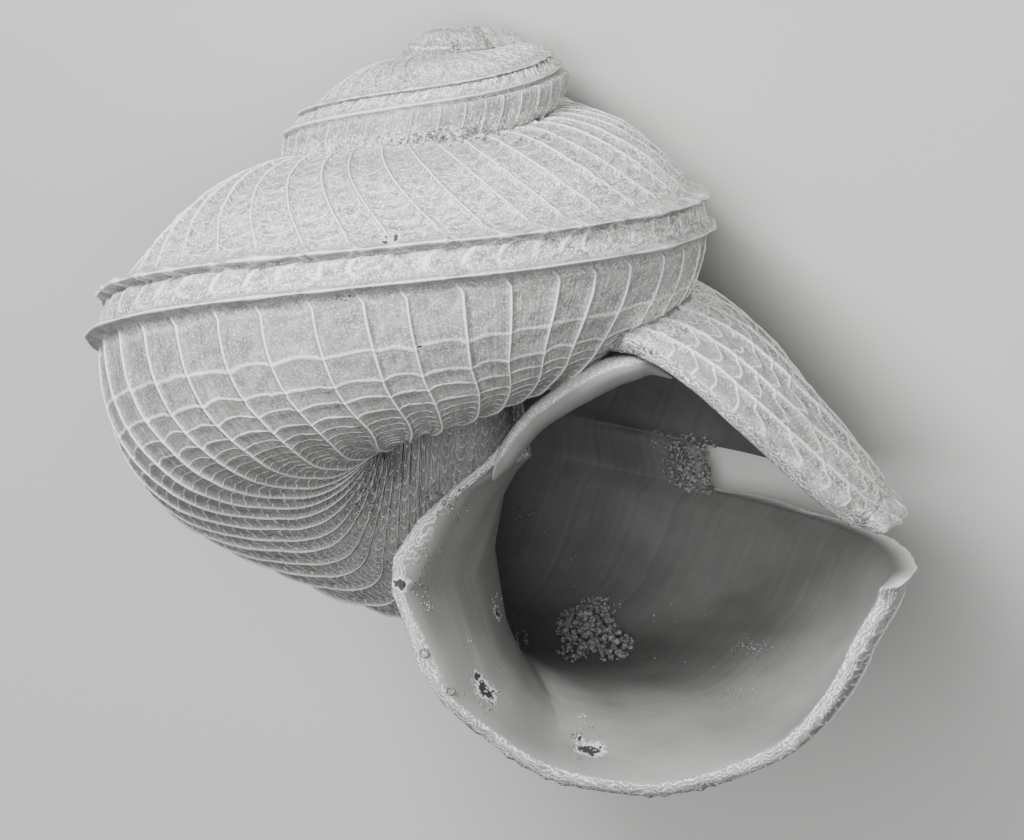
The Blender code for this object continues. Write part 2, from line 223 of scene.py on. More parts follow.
column = np.arange(COLUMNS + 1)
rib_number = column // 10
offset = CREST_SPREAD[column % 10]
draw = np.random.default_rng(11)
rib_shift = draw.uniform(-0.11, 0.11, rib_number.max() + 1)
rib_place = rib_number + 0.5 + offset
TURN = FIRST_TURN + (rib_place + rib_shift[rib_number] * (1 - 4 * offset**2)) / RIBS_PER_TURN
print("columns", len(column), "ribs", int(rib_number.max()), "turns", round(float(TURN[-1] - TURN[0]), 3))

# %% Rows
SHOULDER_ROWS = 44
WALL_ROWS = 12
BASE_ROWS = 72
KEEL_STATIONS = (4.2, 4.4, 4.58, 4.75, 4.87, 4.94, 5.0, 5.08, 5.18, 5.3, 5.4, 5.5, 5.62, 5.75, 5.88, 6.0,
                 6.15, 6.32, 6.5, 6.62, 6.75, 6.86, 6.92, 7.0, 7.08, 7.24, 7.4, 7.7)
station = np.concatenate([
    np.linspace(0, 4, SHOULDER_ROWS + 1), KEEL_STATIONS, np.linspace(8, 9, WALL_ROWS + 1)[:-1],
    np.linspace(9, 16, BASE_ROWS - 1), np.linspace(16, 23, 12)[1:]])
station = np.unique(np.round(np.concatenate([station, [10, 15]]), 4))
ROW = {float(s): k for k, s in enumerate(station)}


def rows_between(low, high, keep=1):
    """Row numbers from one station to another, every keep-th one, with both ends and the keel edges."""
    inside = [k for k, s in enumerate(station) if low <= s <= high]
    must = {ROW[float(s)] for s in (0, 4, 5, 7, 8, 9, 10, 15, 16, 23)}
    return [k for k in inside if k in (inside[0], inside[-1]) or k in must or k % keep == 0]


print("rows", len(station))


# %% [markdown]
# ## How the growth lines lean
#
# The ribs are old lips, so they aren't straight: each runs ahead at the suture, falls back over the
# shoulder and lags behind again on its way into the umbilicus. The table gives, for stations across
# the tube, how far ahead of the keels a growth line is, in turns.

# %% Lead of the growth lines
LEAD_STATIONS = (0, 0.72, 1.84, 2.96, *range(4, 24))
LEADS = (0.0789, 0.068, 0.050, 0.028, 0.008, 0.0, 0.0, 0.0, -0.008, 0.0, 0.002, 0.004,
         0.002, -0.004, -0.012, -0.030, -0.050, -0.054, -0.058, -0.060, -0.058, -0.056, -0.053, -0.050)
LAG_STATIONS = (7, 8, 9, 10, 11, 12, 13, 14, 15, 16, 23)
LAGS = (0.0, 0.003, -0.014, -0.025, -0.029, -0.019, -0.002, 0.008, 0.010, 0.0, 0.0)
free = ease((column - OPEN_SEAM) / 60) * (1 - ease((column - 1080) / 80))
lead = smooth_table(LEAD_STATIONS, LEADS, station)
lag = smooth_table(LAG_STATIONS, LAGS, np.maximum(station, 7))
waver = draw.normal(0, 0.0011, (rib_number.max() + 2, 25))


def wavering(row):
    """A little side-to-side waver of each growth line."""
    at = station[row] * 24 / 23
    k = min(int(at), 23)
    values = waver[:, k] * (1 - ease(at - k)) + waver[:, k + 1] * ease(at - k)
    steady = 0 if station[row] in (SEAM, CORNER, END) else 1
    return steady * (values[rib_number] * (0.5 - offset) + values[rib_number + 1] * (0.5 + offset))


# %% The smooth skin
APEX = (0.055, -0.02, 0.88)
FIRST_FLOOR = (0.0, 0.0, 0.64)
ARCH_TURNS = (-1.3, -1.0, -0.75, -0.5, -0.25, 0.0)
ARCHES = (0.34, 0.58, 0.42, 0.34, 0.40, 0.50)
SMOOTHINGS = 260
skin = np.zeros((COLUMNS + 1, len(station), 3))
size = radius(TURN)
height = level(TURN)

for row, s in enumerate(station):
    if s > FOOT:
        out, up = keel_part(TURN, s) if s <= LOWER_FOOT else base_part(TURN, s)
        if s == LOWER_FOOT:
            out = out + 0.6 * flare(TURN)
        ahead = TURN + lead[row] + free * lag[row] + wavering(row)
        skin[:, row] = around(size * (1 + out), height + size * up, ahead)

seam_points = skin[:, ROW[9.0]].copy()
start = np.zeros((COLUMNS + 1, 2))
start[:SEAM_BACK] = (math.hypot(APEX[0], APEX[1]), APEX[2])
start[SEAM_BACK:, 0] = np.hypot(seam_points[:-SEAM_BACK, 0], seam_points[:-SEAM_BACK, 1])
start[SEAM_BACK:, 1] = seam_points[:-SEAM_BACK, 2]
foot_out, foot_up = keel_part(TURN, FOOT)
chord = np.stack([size * (1 + foot_out), height + size * foot_up], axis=1) - start
square = np.stack([-chord[:, 1], chord[:, 0]], axis=1)
arch = np.interp(TURN, ARCH_TURNS, ARCHES)
for row, s in enumerate(station):
    if s <= FOOT:
        share = s / FOOT
        bulge = arch * share**0.9 * (1 - share) ** 1.3
        bulge[:SEAM_BACK] = 0.36 * share**0.8 * (1 - share) ** 0.8
        point = start + chord * share + square * bulge[:, None]
        skin[:, row] = around(point[:, 0], point[:, 1], TURN + lead[row] + wavering(row))
skin[:SEAM_BACK, 0] = APEX
skin[SEAM_BACK:, 0] = seam_points[:-SEAM_BACK]
skin[:PER_TURN, -1] = FIRST_FLOOR
skin[PER_TURN:, -1] = skin[:-PER_TURN, ROW[16.0]]


def smoothed(grid, strength, low, high):
    """Round off a grid across its rows, with a strength from 0 to 1 for each column."""
    for _ in range(SMOOTHINGS):
        middle = grid[:, low:high]
        grid[:, low:high] = middle + strength[:, None, None] * 0.5 * (
            (grid[:, low - 1:high - 1] + grid[:, low + 1:high + 1]) / 2 - middle)


smoothed(skin, ease((-1.95 - TURN) / 0.35), ROW[0.0] + 8, ROW[9.0])
print("skin reaches from", skin.reshape(-1, 3).min(0).round(2), "to", skin.reshape(-1, 3).max(0).round(2))


# %% [markdown]
# ## The mouth
#
# At the end of its growth the shell flares a little: the last columns are led to the measured edge of
# the mouth. The umbilical side folds out as a plate, wide and smooth, that half hides the umbilicus.

# %% Edge of the mouth
MOUTH_STATIONS = (4, 5, 7, 8, 9, 10, 11, 12, 13, 14, 15, 16, 17, 18, 19, 20, 21, 22)
MOUTH_EDGE = (
    (1.95, -0.58, -1.29), (2.05, -0.58, -1.36), (2.10, -0.55, -1.61), (2.04, -0.55, -1.74),
    (1.94, -0.54, -1.92), (1.90, -0.53, -2.02), (1.80, -0.52, -2.19), (1.61, -0.48, -2.40),
    (1.28, -0.44, -2.55), (0.94, -0.41, -2.61), (0.50, -0.39, -2.54), (0.18, -0.38, -2.34),
    (-0.05, -0.39, -2.14), (-0.17, -0.40, -1.84), (-0.24, -0.42, -1.60), (-0.08, -0.45, -1.33),
    (0.16, -0.48, -1.12), (0.30, -0.46, -0.94))
edge = smooth_table(MOUTH_STATIONS, MOUTH_EDGE, np.clip(station, 4, 22))
nicks = np.convolve(draw.normal(0, 1, len(station) + 4), np.ones(5) / 5, "valid")
edge[:, 1] += 0.016 * nicks * (station > 4)
shift = edge - skin[-1]
fade = np.interp(station, (2.0, 4.0, 22.0, 23.0), (0.0, 1.0, 1.0, 0.0))
FLARING_RIBS = 10
near = np.clip(1 - (RIBS - rib_place) / FLARING_RIBS, 0, 1)
opening = ease(near)
plate = np.clip((near - 0.3) / 0.7, 0, 1) ** 2.2
between_feet = np.clip((station - FOOT) / (LOWER_FOOT - FOOT), 0, 1)[:, None]
core_shift = np.where((station > FOOT)[:, None] & (station < LOWER_FOOT)[:, None],
                      shift[ROW[4.0]] * (1 - between_feet) + shift[ROW[8.0]] * between_feet, shift)


def opened(grid, moves):
    """Lead the last columns of a grid to the edge of the mouth."""
    for row, s in enumerate(station):
        part = ease(s - 14)
        weight = opening * (1 - part) + plate * part
        grid[:, row] += (weight * fade[row])[:, None] * moves[row]
    return grid


# %% The inner skin lies under a core without the keels' fins
core = skin.copy()
for row, s in enumerate(station):
    if FOOT < s < LOWER_FOOT:
        out, up = keel_part(TURN, s, fins=0.0)
        core[:, row] = around(size * (1 + out), height + size * up, TURN + lead[row] + free * lag[row])
core = opened(core, core_shift)
skin = opened(skin, shift)
along = np.gradient(core, axis=0)
across = np.gradient(core, axis=1)
into = np.cross(along, across)
into /= np.maximum(np.linalg.norm(into, axis=2, keepdims=True), 1e-9)
for _ in range(40):
    into[1:-1] = (into[:-2] + 2 * into[1:-1] + into[2:]) / 4
    into[:, 1:-1] = (into[:, :-2] + 2 * into[:, 1:-1] + into[:, 2:]) / 4
into /= np.maximum(np.linalg.norm(into, axis=2, keepdims=True), 1e-9)
inner = core - into * (WALL * size)[:, None, None]
smoothed(inner, ease((SLIT_COLUMN - 10 - column) / 60), ROW[4.0] - 12, ROW[9.0])
print("mouth from", edge.min(0).round(2), "to", edge.max(0).round(2))

# %% The rim is a rounded, worn edge between the two skins
onward = skin[-1] - skin[-12]
onward /= np.maximum(np.linalg.norm(onward, axis=1, keepdims=True), 1e-9)
RIM_STEPS = (0.2, 0.4, 0.7, 0.9)
RIM_REACH = 0.020
rims = []
for k, share in enumerate(RIM_STEPS):
    worn = np.convolve(draw.normal(0, 1, len(station) + 4), np.ones(5) / 5, "valid")[:, None]
    bulge = math.sin(math.pi * share) ** 0.6 * (1 + 0.6 * worn)
    rims.append(skin[-1] * (1 - share) + inner[-1] * share + onward * RIM_REACH * bulge)
print("rim is", round(float(np.linalg.norm(skin[-1] - inner[-1], axis=1).mean()), 3), "mm thick")


# %% [markdown]
# ## Sewing the skin
#
# The outer and the inner skin are sewn into one closed surface. A turn's suture uses the very points of
# the seam above it, so there is no gap and no overlap. Where a fine edge meets a coarse one, a zip of
# triangles joins them.

# %% Points and faces
points, faces, marks, index = [], [], [], {}
grids = {"outer": skin, "inner": inner}


def settle(skin_name, c, row):
    """The grid place that this one shares with the turn above, if any."""
    if skin_name == "rim" and row in (0, len(station) - 1):
        share = RIM_STEPS[c - COLUMNS - 1]
        above = (OPEN_SEAM, 9 + share) if row == 0 else (OPEN_CORNER, 16 - share)
        return "outer", above[0], ROW[round(above[1], 4)]
    if skin_name == "inner" and row in (0, len(station) - 1):
        back = SEAM_BACK if row == 0 else PER_TURN
        return "outer", c - back, ROW[10.0 if row == 0 else 15.0]
    while skin_name == "outer" and row in (0, len(station) - 1):
        back, target = (SEAM_BACK, ROW[9.0]) if row == 0 else (PER_TURN, ROW[16.0])
        if c < back:
            c = 0
            break
        c, row = c - back, target
    coarse = (row <= ROW[9.0] and c < EARLY_COLUMN) or (row > ROW[9.0] and c < OPEN_SEAM)
    return skin_name, c - c % 2 if coarse else c, row


def place(skin_name, c, row):
    """The number of the point at a grid place."""
    key = settle(skin_name, c, row)
    if key not in index:
        name, c, row = key
        index[key] = len(points)
        points.append(rims[c - COLUMNS - 1][row] if name == "rim" else grids[name][c, row])
        marks.append((name, c, row))
    return index[key]


def zip_lines(first, second, flip=False):
    """Faces between two lines of (position, point number), from end to end."""
    a = b = 0
    while a < len(first) - 1 or b < len(second) - 1:
        next_a = first[a + 1][0] if a < len(first) - 1 else math.inf
        next_b = second[b + 1][0] if b < len(second) - 1 else math.inf
        if abs(next_a - next_b) < 1e-6:
            corners = [first[a][1], second[b][1], second[b + 1][1], first[a + 1][1]]
            a, b = a + 1, b + 1
        elif next_a < next_b:
            corners = [first[a][1], second[b][1], first[a + 1][1]]
            a += 1
        else:
            corners = [first[a][1], second[b][1], second[b + 1][1]]
            b += 1
        corners = [c for k, c in enumerate(corners) if c != corners[k - 1]]
        if len(set(corners)) >= 3:
            faces.append(corners[::-1] if flip else corners)


def line(skin_name, c, rows):
    """The (row, point number) pairs of a column."""
    return [(row, place(skin_name, c, row)) for row in rows]


def rows_at(skin_name, c, low, high):
    """The rows that are kept at a column, fewer where the shell is small, smooth or hidden."""
    if skin_name == "inner":
        return rows_between(low, high, 3)
    if high <= SEAM:
        return rows_between(low, high, 4 if c < EARLY_COLUMN else 2 if c < MIDDLE_COLUMN else 1)
    if low >= CORNER:
        return rows_between(low, high, 1 if c >= OPEN_SEAM else 3)
    if c > OPEN_SEAM:
        return rows_between(low, high)
    seats = {ROW[round(9 + s, 4)] for s in RIM_STEPS} | {ROW[round(16 - s, 4)] for s in RIM_STEPS}
    middle = rows_between(SEAM + 1, SEAT, 1 if c == OPEN_SEAM else 5)
    kept = {ROW[9.0], ROW[16.0]} | seats | set(middle)
    return [k for k in rows_between(low, high) if k in kept]


def strips(skin_name, columns, low, high):
    """Join each column to the next, between two stations."""
    columns = list(columns)
    for c, d in zip(columns, columns[1:]):
        spans = [(low, high)]
        if c >= SLIT_COLUMN and low < UPPER_KEEL and high > LOWER_KEEL:
            spans = [(low, UPPER_KEEL), (LOWER_KEEL, high)]
        for a, b in spans:
            zip_lines(line(skin_name, c, rows_at(skin_name, c, a, b)),
                      line(skin_name, d, rows_at(skin_name, d, a, b)), flip=skin_name == "inner")


# %% Outer skin, inner skin and the wall between turns
every_second = list(range(0, OPEN_SEAM + 1, 2))
rest = list(range(OPEN_SEAM + 1, COLUMNS + 1))
hidden_start = HOLLOW_COLUMN - SEAM_BACK
strips("outer", list(range(0, EARLY_COLUMN, 2)) + list(range(EARLY_COLUMN, COLUMNS + 1)), SUTURE, SEAM)
strips("outer", [OPEN_SEAM] + rest, SEAM, CORNER)
strips("outer", every_second + rest, CORNER, END)
strips("outer", range(hidden_start, OPEN_SEAM + 1, 2), SEAM + 1, SEAT)
strips("outer", range(OPEN_CORNER, OPEN_SEAM + 1, 2), SEAT, CORNER)
strips("inner", range(HOLLOW_COLUMN, COLUMNS + 1, 2), SUTURE, END)
print("faces so far", len(faces))

# %% Closed end of the hollow, lip, slit and the start of the coil
ring = [n for _, n in line("inner", HOLLOW_COLUMN, rows_between(SUTURE, END, 3))]
ring += [place("outer", c, ROW[15.0]) for c in range(HOLLOW_COLUMN - PER_TURN + 2, hidden_start + 1, 2)]
ring += [n for _, n in line("outer", hidden_start, rows_between(SEAM + 1, SEAT, 5))][-2:0:-1]
points.append(np.mean([points[k] for k in ring], axis=0))
marks.append(("inner", HOLLOW_COLUMN, 0))
for a, b in zip(ring, ring[1:] + ring[:1]):
    faces.append([len(points) - 1, b, a])

for low, high in ((SUTURE, UPPER_KEEL), (LOWER_KEEL, END)):
    rows = rows_between(low, high, 1)
    lines = [line("outer", COLUMNS, rows)]
    lines += [line("rim", COLUMNS + 1 + k, rows) for k in range(len(RIM_STEPS))]
    lines.append(line("inner", COLUMNS, rows_between(low, high, 3)))
    for first, second in zip(lines, lines[1:]):
        zip_lines(first, second)
    end = [some[-1 if low == SUTURE else 0][1] for some in lines]
    faces.append(end if low == SUTURE else end[::-1])
slit = range(SLIT_COLUMN, COLUMNS + 1)
for row, flip in ((ROW[5.0], False), (ROW[7.0], True)):
    zip_lines([(c, place("outer", c, row)) for c in slit],
              [(c, place("inner", c, row)) for c in slit if c % 2 == 0], not flip)
zip_lines(line("outer", SLIT_COLUMN, rows_between(UPPER_KEEL, LOWER_KEEL)),
          line("inner", SLIT_COLUMN, rows_between(UPPER_KEEL, LOWER_KEEL, 3)))
for low, high, keep in ((SUTURE, SEAM, 4), (CORNER, END, 3)):
    rows = rows_between(low, high, keep)
    hub = place("outer", 0, rows[0] if low == SUTURE else rows[-1])
    for a, b in zip(rows, rows[1:]):
        corners = (hub, place("outer", 0, a), place("outer", 0, b))
        if len(set(corners)) == 3:
            faces.append(list(corners))
print("points", len(points), "faces", len(faces))


# %% [markdown]
# ## Laying the shell down
#
# The laws of growth work upright, around the axis. A loose shell rolls until it lies on the keels of
# its spire and of its last whorl, with the mouth up, so every point is turned and moved the same way as
# the solid was. The lowest tenth of a millimetre reaches below the ground here, and the carving lifts it
# level with the ground, as if the keels were worn.

# %% Turn to the resting place
REST_UP = Vector((-0.36, -0.68, -0.64)).normalized()
REST_MOVE = (-0.4957, 0.7326, 0.8537)
right = (Vector((1, 0, 0)) - REST_UP * REST_UP.x).normalized()
REST = Matrix.Translation(REST_MOVE) @ Matrix((right, REST_UP.cross(right), REST_UP)).to_4x4()
TURNED = np.array(REST.to_3x3())


def laid_down(grown):
    """Points of the growing frame, in millimetres, at rest in metres."""
    return (np.asarray(grown) @ TURNED.T + REST_MOVE) * MM


sides = {}
for face in faces:
    for a, b in zip(face, face[1:] + face[:1]):
        sides[a, b] = sides.get((a, b), 0) + 1
loose = [pair for pair in sides if (pair[1], pair[0]) not in sides or sides[pair] > 1]
print("edges that aren't joined to exactly one other face:", len(loose))
mesh = bpy.data.meshes.new("smooth_shell")
mesh.from_pydata([tuple(p) for p in laid_down(points)], [], faces)
smooth_shell = bpy.data.objects.new("smooth_shell", mesh)
bpy.context.scene.collection.objects.link(smooth_shell)
mesh.polygons.foreach_set("use_smooth", [True] * len(mesh.polygons))
lying = np.array([v.co for v in mesh.vertices]) / MM
print("smooth shell in mm", lying.min(0).round(3), lying.max(0).round(3))


# %% [markdown]
# ## Camera
#
# The picture was taken from far off for the size of the shell, so the camera has a very long lens and
# nearly no perspective. It is set up in the growing frame, where it looks level at the axis with a
# slight roll, and is then turned with the shell, so that it looks down on it.

# %% Camera
PIXEL = 0.0046                       # millimetres for one pixel of the picture
AXIS_AT = (453.0, 219.2)             # where the axis of the coil crosses its zero height
PICTURE_MIDDLE = (512, 420)
PICTURE_WIDTH = 1024
TILT, ROLL = math.radians(1.14), math.radians(1.70)
LENS, SENSOR = 800.0, 36.0
ACROSS = np.array((math.cos(ROLL), math.sin(TILT) * math.sin(ROLL), math.cos(TILT) * math.sin(ROLL)))
UPWARD = np.array((-math.sin(ROLL), math.sin(TILT) * math.cos(ROLL), math.cos(TILT) * math.cos(ROLL)))
TOWARD = np.cross(ACROSS, UPWARD)


def seen_at(px, py, nearer=0.0):
    """The point behind a pixel of the picture, in millimetres of the growing frame."""
    return (ACROSS * (px - AXIS_AT[0]) + UPWARD * (AXIS_AT[1] - py)) * PIXEL + TOWARD * nearer


camera_data = bpy.data.cameras.new("camera")
camera_data.lens, camera_data.sensor_width = LENS, SENSOR
camera_data.clip_start, camera_data.clip_end = 0.001, 10.0
camera = bpy.data.objects.new("camera", camera_data)
bpy.context.scene.collection.objects.link(camera)
away = PICTURE_WIDTH * PIXEL * LENS / SENSOR
axes = Matrix(np.stack([TURNED @ v for v in (ACROSS, UPWARD, TOWARD)], axis=1).tolist()).to_4x4()
camera.matrix_world = Matrix.Translation(laid_down(seen_at(*PICTURE_MIDDLE, away))) @ axes
bpy.context.scene.camera = camera
print("camera is", round(away), "mm away")


# %% [markdown]
# ## Sculpture, made by Geometry Nodes
#
# The surface is a net of two sets of lines. Axial lamellae are old lips that stood up as thin blades,
# 38 to a turn. Weaker spiral threads cross them and hang like garlands from blade to blade. On the band
# between the keels each old end of the slit left a crescent, a lunule. All of this repeats along the
# growth, so a node tree carves it: the mesh carries its growth number, its station and the strength of
# each feature, and the tree moves every point along its normal.

# %% What each point knows
RIB_STATIONS = (0, 0.72, 1.84, 2.96, 3.8, 4.1, 7.3, 8, 9, 10, 11, 12, 13, 14, 15, 16, 19, 23)
RIB_LIFTS = (0.004, 0.012, 0.018, 0.017, 0.009, 0, 0, 0.011, 0.010, 0.012, 0.015, 0.015, 0.014, 0.010,
             0.005, 0.003, 0.001, 0)
THREAD_STATIONS = (0, 4, 8, 8.5, 9, 10, 12, 13.5, 15, 16, 23)
THREAD_COUNTS = (0, 11, 12.2, 13.0, 14.2, 16.4, 23.0, 29.5, 36, 40, 54)
THREAD_LIFTS = (0.004, 0.005, 0.002, 0.005, 0.006, 0.006, 0.006, 0.006, 0.006, 0.005, 0.003)
GARLAND_STATIONS = (0, 2, 4, 8, 9, 11, 13, 16, 23)
GARLAND_SAGS = (0.9, 0.9, 0.6, 0.0, -0.15, -0.45, -0.9, -1.2, -1.2)

inside = np.array([m[0] == "inner" for m in marks])
on_rim = np.array([m[0] == "rim" for m in marks])
at_column = np.minimum([m[1] for m in marks], COLUMNS)
at_station = station[np.array([m[2] for m in marks])]
hidden = (at_column < OPEN_SEAM) & (at_station > SEAM + 0.01) & (at_station < CORNER - 0.01)
smooth_part = inside | hidden
grown = ease((TURN[at_column] + 2.3) / 0.4) * ~(smooth_part | on_rim)
big = size[at_column]

# A lunule is left wherever the slit once ended: two to a rib on the spire, fewer on the last turn
slit_steps = np.interp(TURN, (-2.0, -1.1, -0.8, 0.0), (2.6, 2.2, 1.4, 1.15))
lunule_place = np.cumsum(slit_steps * np.gradient(rib_place))

# Lime grains lie thick at the suture, on the lower shoulder and on the band
crusted = np.interp(at_station, (0, 0.35, 1.0, 1.5, 3, 4, 5.3, 5.6, 6.6, 7, 7.5, 8.6, 10, 16),
                    (1.6, 1.1, 0.45, 0.5, 1.0, 0.8, 0.4, 1, 1, 0.2, 0.6, 0.45, 0.22, 0.3))
at_seam = (at_station <= SEAM) & (at_column < OPEN_SEAM)
crusted += 1.1 * np.interp(at_station, (8.3, 8.9, 9.0), (0, 1, 1)) * at_seam
rim_share = np.array([RIM_STEPS[c - COLUMNS - 1] if name == "rim" else 0 for name, c, _ in marks])

# %% Chips and pits, found by looking along the line of sight onto the smooth skin
LOST = ((485, 690, 11, 1.0), (478, 676, 7, 0.7), (492, 703, 6, 0.6), (590, 748, 12, 1.0), (578, 738, 8, 0.7),
        (583, 715, 7, 0.4), (497, 612, 8, 0.8), (400, 585, 9, 0.9), (391, 240, 8, 1.0), (458, 47, 6, 0.7),
        (466, 30, 5, 0.6), (420, 345, 6, 0.5), (452, 350, 5, 0.5), (690, 222, 6, 0.5), (346, 297, 6, 0.5))


def landed(surface_tree, px, py):
    """Where the line of sight behind a pixel meets a surface, and which way it faces there."""
    eye = camera.matrix_world.translation
    aim = Vector(laid_down(seen_at(px, py))) - eye
    return surface_tree.ray_cast(eye, aim.normalized())[:2]


smooth_tree = BVHTree.FromPolygons([v.co for v in mesh.vertices], [p.vertices[:] for p in mesh.polygons])
worn_away = np.zeros(len(marks))
at_rest = laid_down(points)
pits = []
for px, py, reach, depth in LOST:
    spot, _ = landed(smooth_tree, px, py)
    if spot is not None:
        apart = np.linalg.norm(at_rest - np.array(spot), axis=1) / (reach * PIXEL * MM)
        worn_away = np.maximum(worn_away, depth * ease(1.25 - apart))
        pits.append((tuple(spot), reach * depth * PIXEL * MM))
print("points worn away", int((worn_away > 0.2).sum()))

features = {
    "growth": rib_place[at_column],
    "station": at_station,
    "rib_lift": np.interp(at_station, RIB_STATIONS, RIB_LIFTS) * big * grown,
    "thread": np.interp(at_station, THREAD_STATIONS, THREAD_COUNTS),
    "thread_lift": np.interp(at_station, THREAD_STATIONS, THREAD_LIFTS) * big * grown,
    "garland": np.interp(at_station, GARLAND_STATIONS, GARLAND_SAGS),
    "band": np.interp(at_station, (5.2, 5.6, 6.5, 6.9), (0, 1, 1, 0)) * ~(smooth_part | on_rim),
    "old_lips": lunule_place[at_column],
    "fin": np.interp(at_station, (4.6, 5, 5.2, 6.85, 7, 7.2), (0, 1, 0, 0, 1, 0)) * big * grown,
    # painted highlight: the edges of the keels, to be painted pale
    "edge": np.interp(at_station, (4.93, 5, 5.08, 6.94, 7, 7.06), (0, 1, 0, 0, 1, 0)) * grown,
    "crust": crusted * ~(smooth_part | on_rim) + 0.3 * on_rim,
    "wear": worn_away,
    "layer": inside + rim_share,
    # painted shade: how deep in the mouth or how hidden a point of the lining is, to darken it
    "deep": np.maximum(np.clip((COLUMNS - at_column) / 110, 0, 1) * inside, hidden),
    "lining": smooth_part.astype(float)}
for name, values in features.items():
    mesh.attributes.new(name, "FLOAT", "POINT").data.foreach_set("value", values.astype(np.float32))
print("features", {name: round(float(v.max()), 3) for name, v in features.items()})


# %% One helper adds a node
def node(tree, kind, inputs=None, output=0, **settings):
    """Add a node, set it up, link or fill its inputs, and give back one of its outputs."""
    made = tree.nodes.new(kind)
    for name, value in settings.items():
        setattr(made, name, value)
    for name, value in (inputs or {}).items():
        if isinstance(value, bpy.types.NodeSocket):
            tree.links.new(value, made.inputs[name])
        else:
            made.inputs[name].default_value = value
    return made.outputs[output] if len(made.outputs) else made


# %% Two helpers for lines that repeat with every whole number
M = "ShaderNodeMath"


def from_middle(tree, number):
    """How far a number is from the middle between two whole ones, 0 to 0.5."""
    part = node(tree, M, {0: number}, operation="FRACT")
    part = node(tree, M, {0: part, 1: 0.5}, operation="SUBTRACT")
    return node(tree, M, {0: part}, operation="ABSOLUTE")


def crest(tree, aside, width):
    """1 on the middle, falling softly to 0 at this distance from it."""
    return node(tree, "ShaderNodeMapRange", {"Value": aside, "From Max": width, "To Min": 1.0, "To Max": 0.0},
                interpolation_type="SMOOTHSTEP")


# %% [markdown]
# ### The carving tree
#
# The fraction of the growth number is 0.5 on a blade's crest, so its distance from 0.5 is the distance
# from the crest. A smooth step of that distance is the blade. The thread number works the same way, once
# the garland's sag has been taken from it. Noise makes blades and threads uneven, and grains of lime
# crust the shoulder and the band.

# %% Inputs of the tree
carving = bpy.data.node_groups.new("shell_carving", "GeometryNodeTree")
carving.interface.new_socket("Geometry", in_out="INPUT", socket_type="NodeSocketGeometry")
SIZES = {
    "Blade Width": 0.095, "Blade Height": 1.0, "Thread Width": 0.24, "Thread Height": 1.1,
    "Lunule Height": 0.006 * MM, "Grain Height": 0.008 * MM,
    "Grain Size": 0.022 * MM, "Fin Ripple": 0.011, "Wear Depth": 0.028 * MM}
for name, value in SIZES.items():
    carving.interface.new_socket(name, in_out="INPUT", socket_type="NodeSocketFloat").default_value = value
seed_socket = carving.interface.new_socket("Seed", in_out="INPUT", socket_type="NodeSocketFloat")
seed_socket.default_value = 4.0
carving.interface.new_socket("Lime", in_out="INPUT", socket_type="NodeSocketMaterial")
carving.interface.new_socket("Geometry", in_out="OUTPUT", socket_type="NodeSocketGeometry")
given = carving.nodes.new("NodeGroupInput").outputs
field = {name: node(carving, "GeometryNodeInputNamedAttribute", {"Name": name}) for name in features}
where = node(carving, "GeometryNodeInputPosition")
outward = node(carving, "GeometryNodeInputNormal")
print("carving sizes", SIZES)

# %% Blades
aside = from_middle(carving, field["growth"])
blade = crest(carving, aside, given["Blade Width"])
number = node(carving, M, {0: field["growth"]}, operation="FLOOR")
chance = node(carving, "ShaderNodeTexWhiteNoise", {"W": number}, noise_dimensions="1D")
uneven = node(carving, "ShaderNodeTexNoise", {"Vector": where, "W": given["Seed"], "Scale": 1 / (0.16 * MM),
              "Detail": 3.0}, noise_dimensions="4D")
strong = node(carving, M, {0: chance, 1: 0.5, 2: 0.35}, operation="MULTIPLY_ADD")
strong = node(carving, M, {0: uneven, 1: 0.8, 2: strong}, operation="MULTIPLY_ADD")
blade_rise = blade
for factor in (field["rib_lift"], strong, given["Blade Height"]):
    blade_rise = node(carving, M, {0: blade_rise, 1: factor}, operation="MULTIPLY")

# %% Threads that hang between the blades
between = node(carving, M, {0: aside, 1: 2.0}, operation="MULTIPLY")
slack = node(carving, M, {0: 2.0, 1: between}, operation="SUBTRACT")
slack = node(carving, M, {0: slack, 1: between}, operation="MULTIPLY")
sag = node(carving, M, {0: slack, 1: field["garland"]}, operation="MULTIPLY")
bent = node(carving, M, {0: field["thread"], 1: sag}, operation="SUBTRACT")
drift = node(carving, M, {0: uneven, 1: 0.6, 2: bent}, operation="MULTIPLY_ADD")
thread = crest(carving, from_middle(carving, drift), given["Thread Width"])
thread_rise = node(carving, M, {0: thread, 1: field["thread_lift"]}, operation="MULTIPLY")
thread_rise = node(carving, M, {0: thread_rise, 1: given["Thread Height"]}, operation="MULTIPLY")
net_rise = node(carving, M, {0: blade_rise, 1: thread_rise}, operation="MAXIMUM")
net_rise = node(carving, M, {0: net_rise, 1: MM}, operation="MULTIPLY")

# %% Lunules on the band, grain, and the ragged edge of the keels
bow = node(carving, M, {0: field["station"], 1: 6.1}, operation="SUBTRACT")
bow = node(carving, M, {0: bow, 1: bow}, operation="MULTIPLY")
lunule = node(carving, M, {0: bow, 1: 1.3, 2: field["old_lips"]}, operation="MULTIPLY_ADD")
lunule = node(carving, M, {0: uneven, 1: 0.7, 2: lunule}, operation="MULTIPLY_ADD")
lunule = crest(carving, from_middle(carving, lunule), 0.22)
lunule = node(carving, M, {0: lunule, 1: field["band"]}, operation="MULTIPLY")
lunule_rise = node(carving, M, {0: lunule, 1: given["Lunule Height"]}, operation="MULTIPLY")
finer = node(carving, M, {0: 1.0, 1: given["Grain Size"]}, operation="DIVIDE")
grain = node(carving, "ShaderNodeTexNoise", {"Vector": where, "W": given["Seed"], "Scale": finer,
             "Detail": 2.0, "Roughness": 0.7}, noise_dimensions="4D")
grain = node(carving, "ShaderNodeMapRange", {"Value": grain, "From Min": 0.42, "From Max": 0.72})
